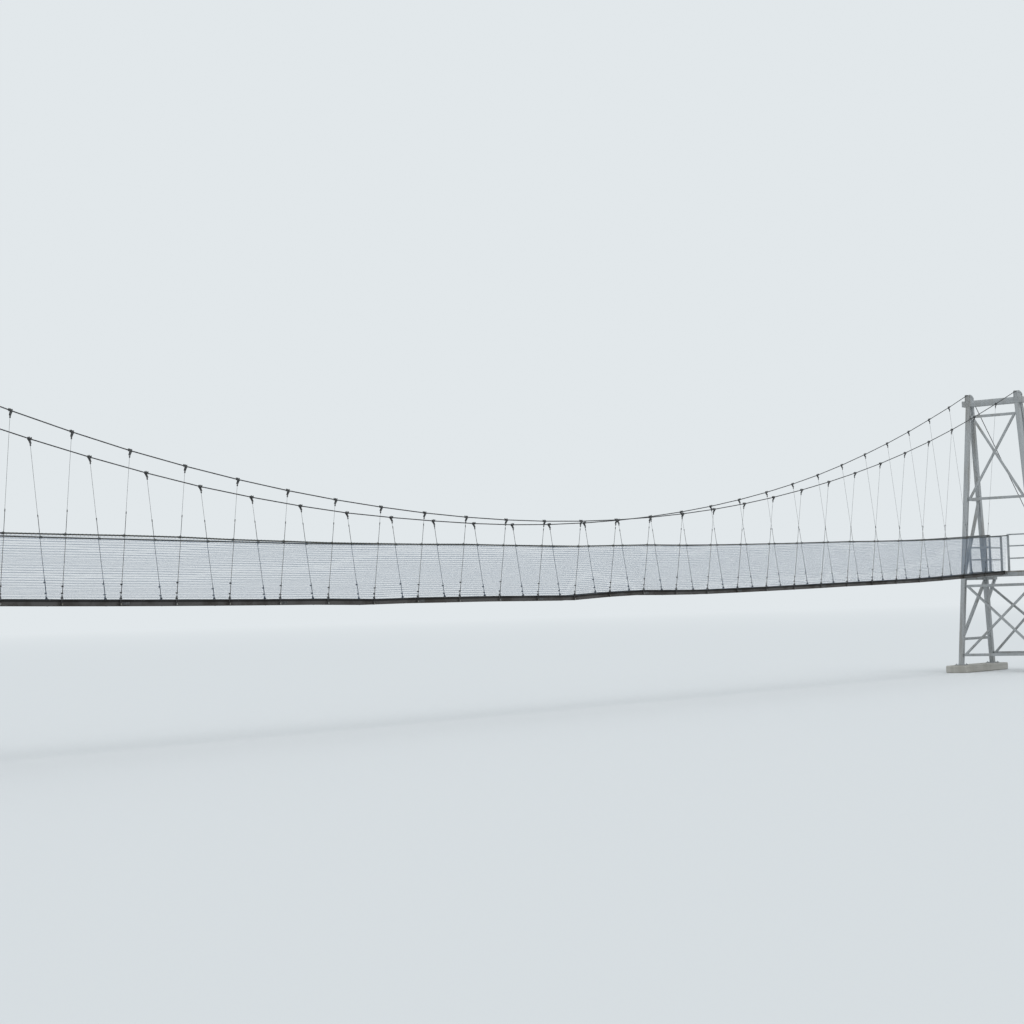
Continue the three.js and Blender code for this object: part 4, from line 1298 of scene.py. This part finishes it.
# %% Saddle cheeks
CHEEK_RISE = real(0.02)
CHEEK_ROOT = BEAM_TOP - real(0.03)
CHEEK = real(0.012)
CHEEK_BOLT_DROP = real(0.07)
SADDLE_HALF_WIDTH = real(0.06)
for end, way in ENDS.items():
    cheeks, studs = [], []
    crown = saddle_arc(way, SADDLE_RADIUS + CHEEK_RISE, 10)
    for side in SIDES.values():
        for face in (-1, 1):
            y = side * CABLE_HALF_WIDTH_TOWER + face * SADDLE_HALF_WIDTH
            outline = [(p.x, y, p.z) for p in crown]
            outline += [(crown[-1].x, y, CHEEK_ROOT), (crown[0].x, y, CHEEK_ROOT)]
            cheeks.append(extruded("cheek", outline, [(0, face * CHEEK, 0)]))
            for p in crown[2:9:3]:
                spot = (p.x, y + face * CHEEK, p.z - CHEEK_BOLT_DROP)
                studs.append(standing(spot, (1, 0, 0), (0, face, 0)))
    piece = modify(joined(f"saddle_cheeks_{end}", cheeks), "BEVEL", width=real(0.002), segments=1)
    finished(piece, GALVANISED, smooth=STEEL_SMOOTH)
    bolts[f"saddle_bolts_{end}"] = studs

# %% [markdown]
# Now that all the places are known, one bolt is modelled: a stud, a nut and a washer, which is
# enough of it to show. It stands on its washer at the origin and is copied to every place.

# %% Bolts
def bolt_pattern():
    washer = rod(0.02, 0.004, (0, 0, 0.002), "z", sides=12)
    nut = rod(0.0155, 0.014, (0, 0, 0.011), "z", sides=6, bevel=0.0015)
    stud = rod(0.0085, 0.034, (0, 0, 0.017), "z")
    return joined("bolt_pattern", [washer, nut, stud])


set_out(bolt_pattern(), bolts, GALVANISED, STEEL_SMOOTH)

# %% [markdown]
# The floor is pale and plain, and reaches far enough to meet the sky softly. The light is an even
# pale sky with one large soft sun, as in a studio with a big soft box.

# %% Floor and light
SKY = (0.76, 0.805, 0.83, 1)
FLOOR_SIZE = 1600
FLOOR_FADE = (25.0, 260.0)
SUN_STRENGTH = 0.7
SUN_ANGLE = math.radians(40)
SUN_TILT = (math.radians(35), math.radians(-20), 0)


def floor_finish():
    """Pale near the bridge, and turning into the sky far away"""
    finish = Finish("studio_floor")
    reach = finish.node("ShaderNodeVectorMath", {"operation": "LENGTH"}, {0: finish.place},
                        output="Value")
    far = finish.band(reach, *FLOOR_FADE)
    finish.shader.inputs["Emission Strength"].default_value = 1.0
    finish.feed(finish.shader.inputs["Emission Color"], finish.mix(far, (0.0, 0.0, 0.0), SKY[:3]))
    return finish.done(finish.mix(far, (0.73, 0.745, 0.755), (0.0, 0.0, 0.0)), 0.9, gloss=0.0)


floor = blank(bpy.ops.mesh.primitive_plane_add, (0, 0, 0), size=FLOOR_SIZE)
floor.name = "floor"
floor.data.materials.append(floor_finish())
floor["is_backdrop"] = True

world = bpy.data.worlds.new("studio")
bpy.context.scene.world = world
world.use_nodes = True
sky = world.node_tree.nodes["Background"].inputs
sky["Color"].default_value = SKY
sky["Strength"].default_value = 1.0

bpy.ops.object.light_add(type="SUN", rotation=SUN_TILT)
sun = bpy.context.object
sun.name = "soft_sun"
sun.data.energy = SUN_STRENGTH
sun.data.angle = SUN_ANGLE
bpy.context.scene.view_settings.view_transform = "Standard"
print("sky:", SKY[:3], "sun:", SUN_STRENGTH)

# %% [markdown]
# The camera was fitted to the hangers in the photograph. It stands left of the middle, a little
# under the walkway, and its long lens looks up slightly, with a small roll.

# %% Camera
CAMERA_PLACE = Vector((-21.457, -17.205, 1.3675))
CAMERA_YAW = 0.88769
CAMERA_PITCH = 0.04312
CAMERA_ROLL = -0.03144
FOCAL_LENGTH = 77.34
SENSOR_WIDTH = 36
SIGHT = 3000
forward = Vector((math.sin(CAMERA_YAW) * math.cos(CAMERA_PITCH),
                  math.cos(CAMERA_YAW) * math.cos(CAMERA_PITCH), math.sin(CAMERA_PITCH)))
level = Vector((math.cos(CAMERA_YAW), -math.sin(CAMERA_YAW), 0))
above = level.cross(forward)
right = level * math.cos(CAMERA_ROLL) + above * math.sin(CAMERA_ROLL)
up = above * math.cos(CAMERA_ROLL) - level * math.sin(CAMERA_ROLL)
lens = bpy.data.cameras.new("photograph")
lens.lens = FOCAL_LENGTH
lens.sensor_width = SENSOR_WIDTH
lens.clip_end = SIGHT
camera = bpy.data.objects.new("photograph", lens)
bpy.context.collection.objects.link(camera)
camera.matrix_world = (Matrix.Translation(CAMERA_PLACE)
                       @ Matrix((right, up, -forward)).transposed().to_4x4())
bpy.context.scene.camera = camera
print("camera at", tuple(CAMERA_PLACE), "lens", FOCAL_LENGTH, "mm")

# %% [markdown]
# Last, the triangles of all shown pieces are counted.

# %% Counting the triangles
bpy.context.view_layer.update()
triangles = sum(len(face.vertices) - 2 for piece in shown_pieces() for face in piece.data.polygons)
print("triangles in all:", triangles)
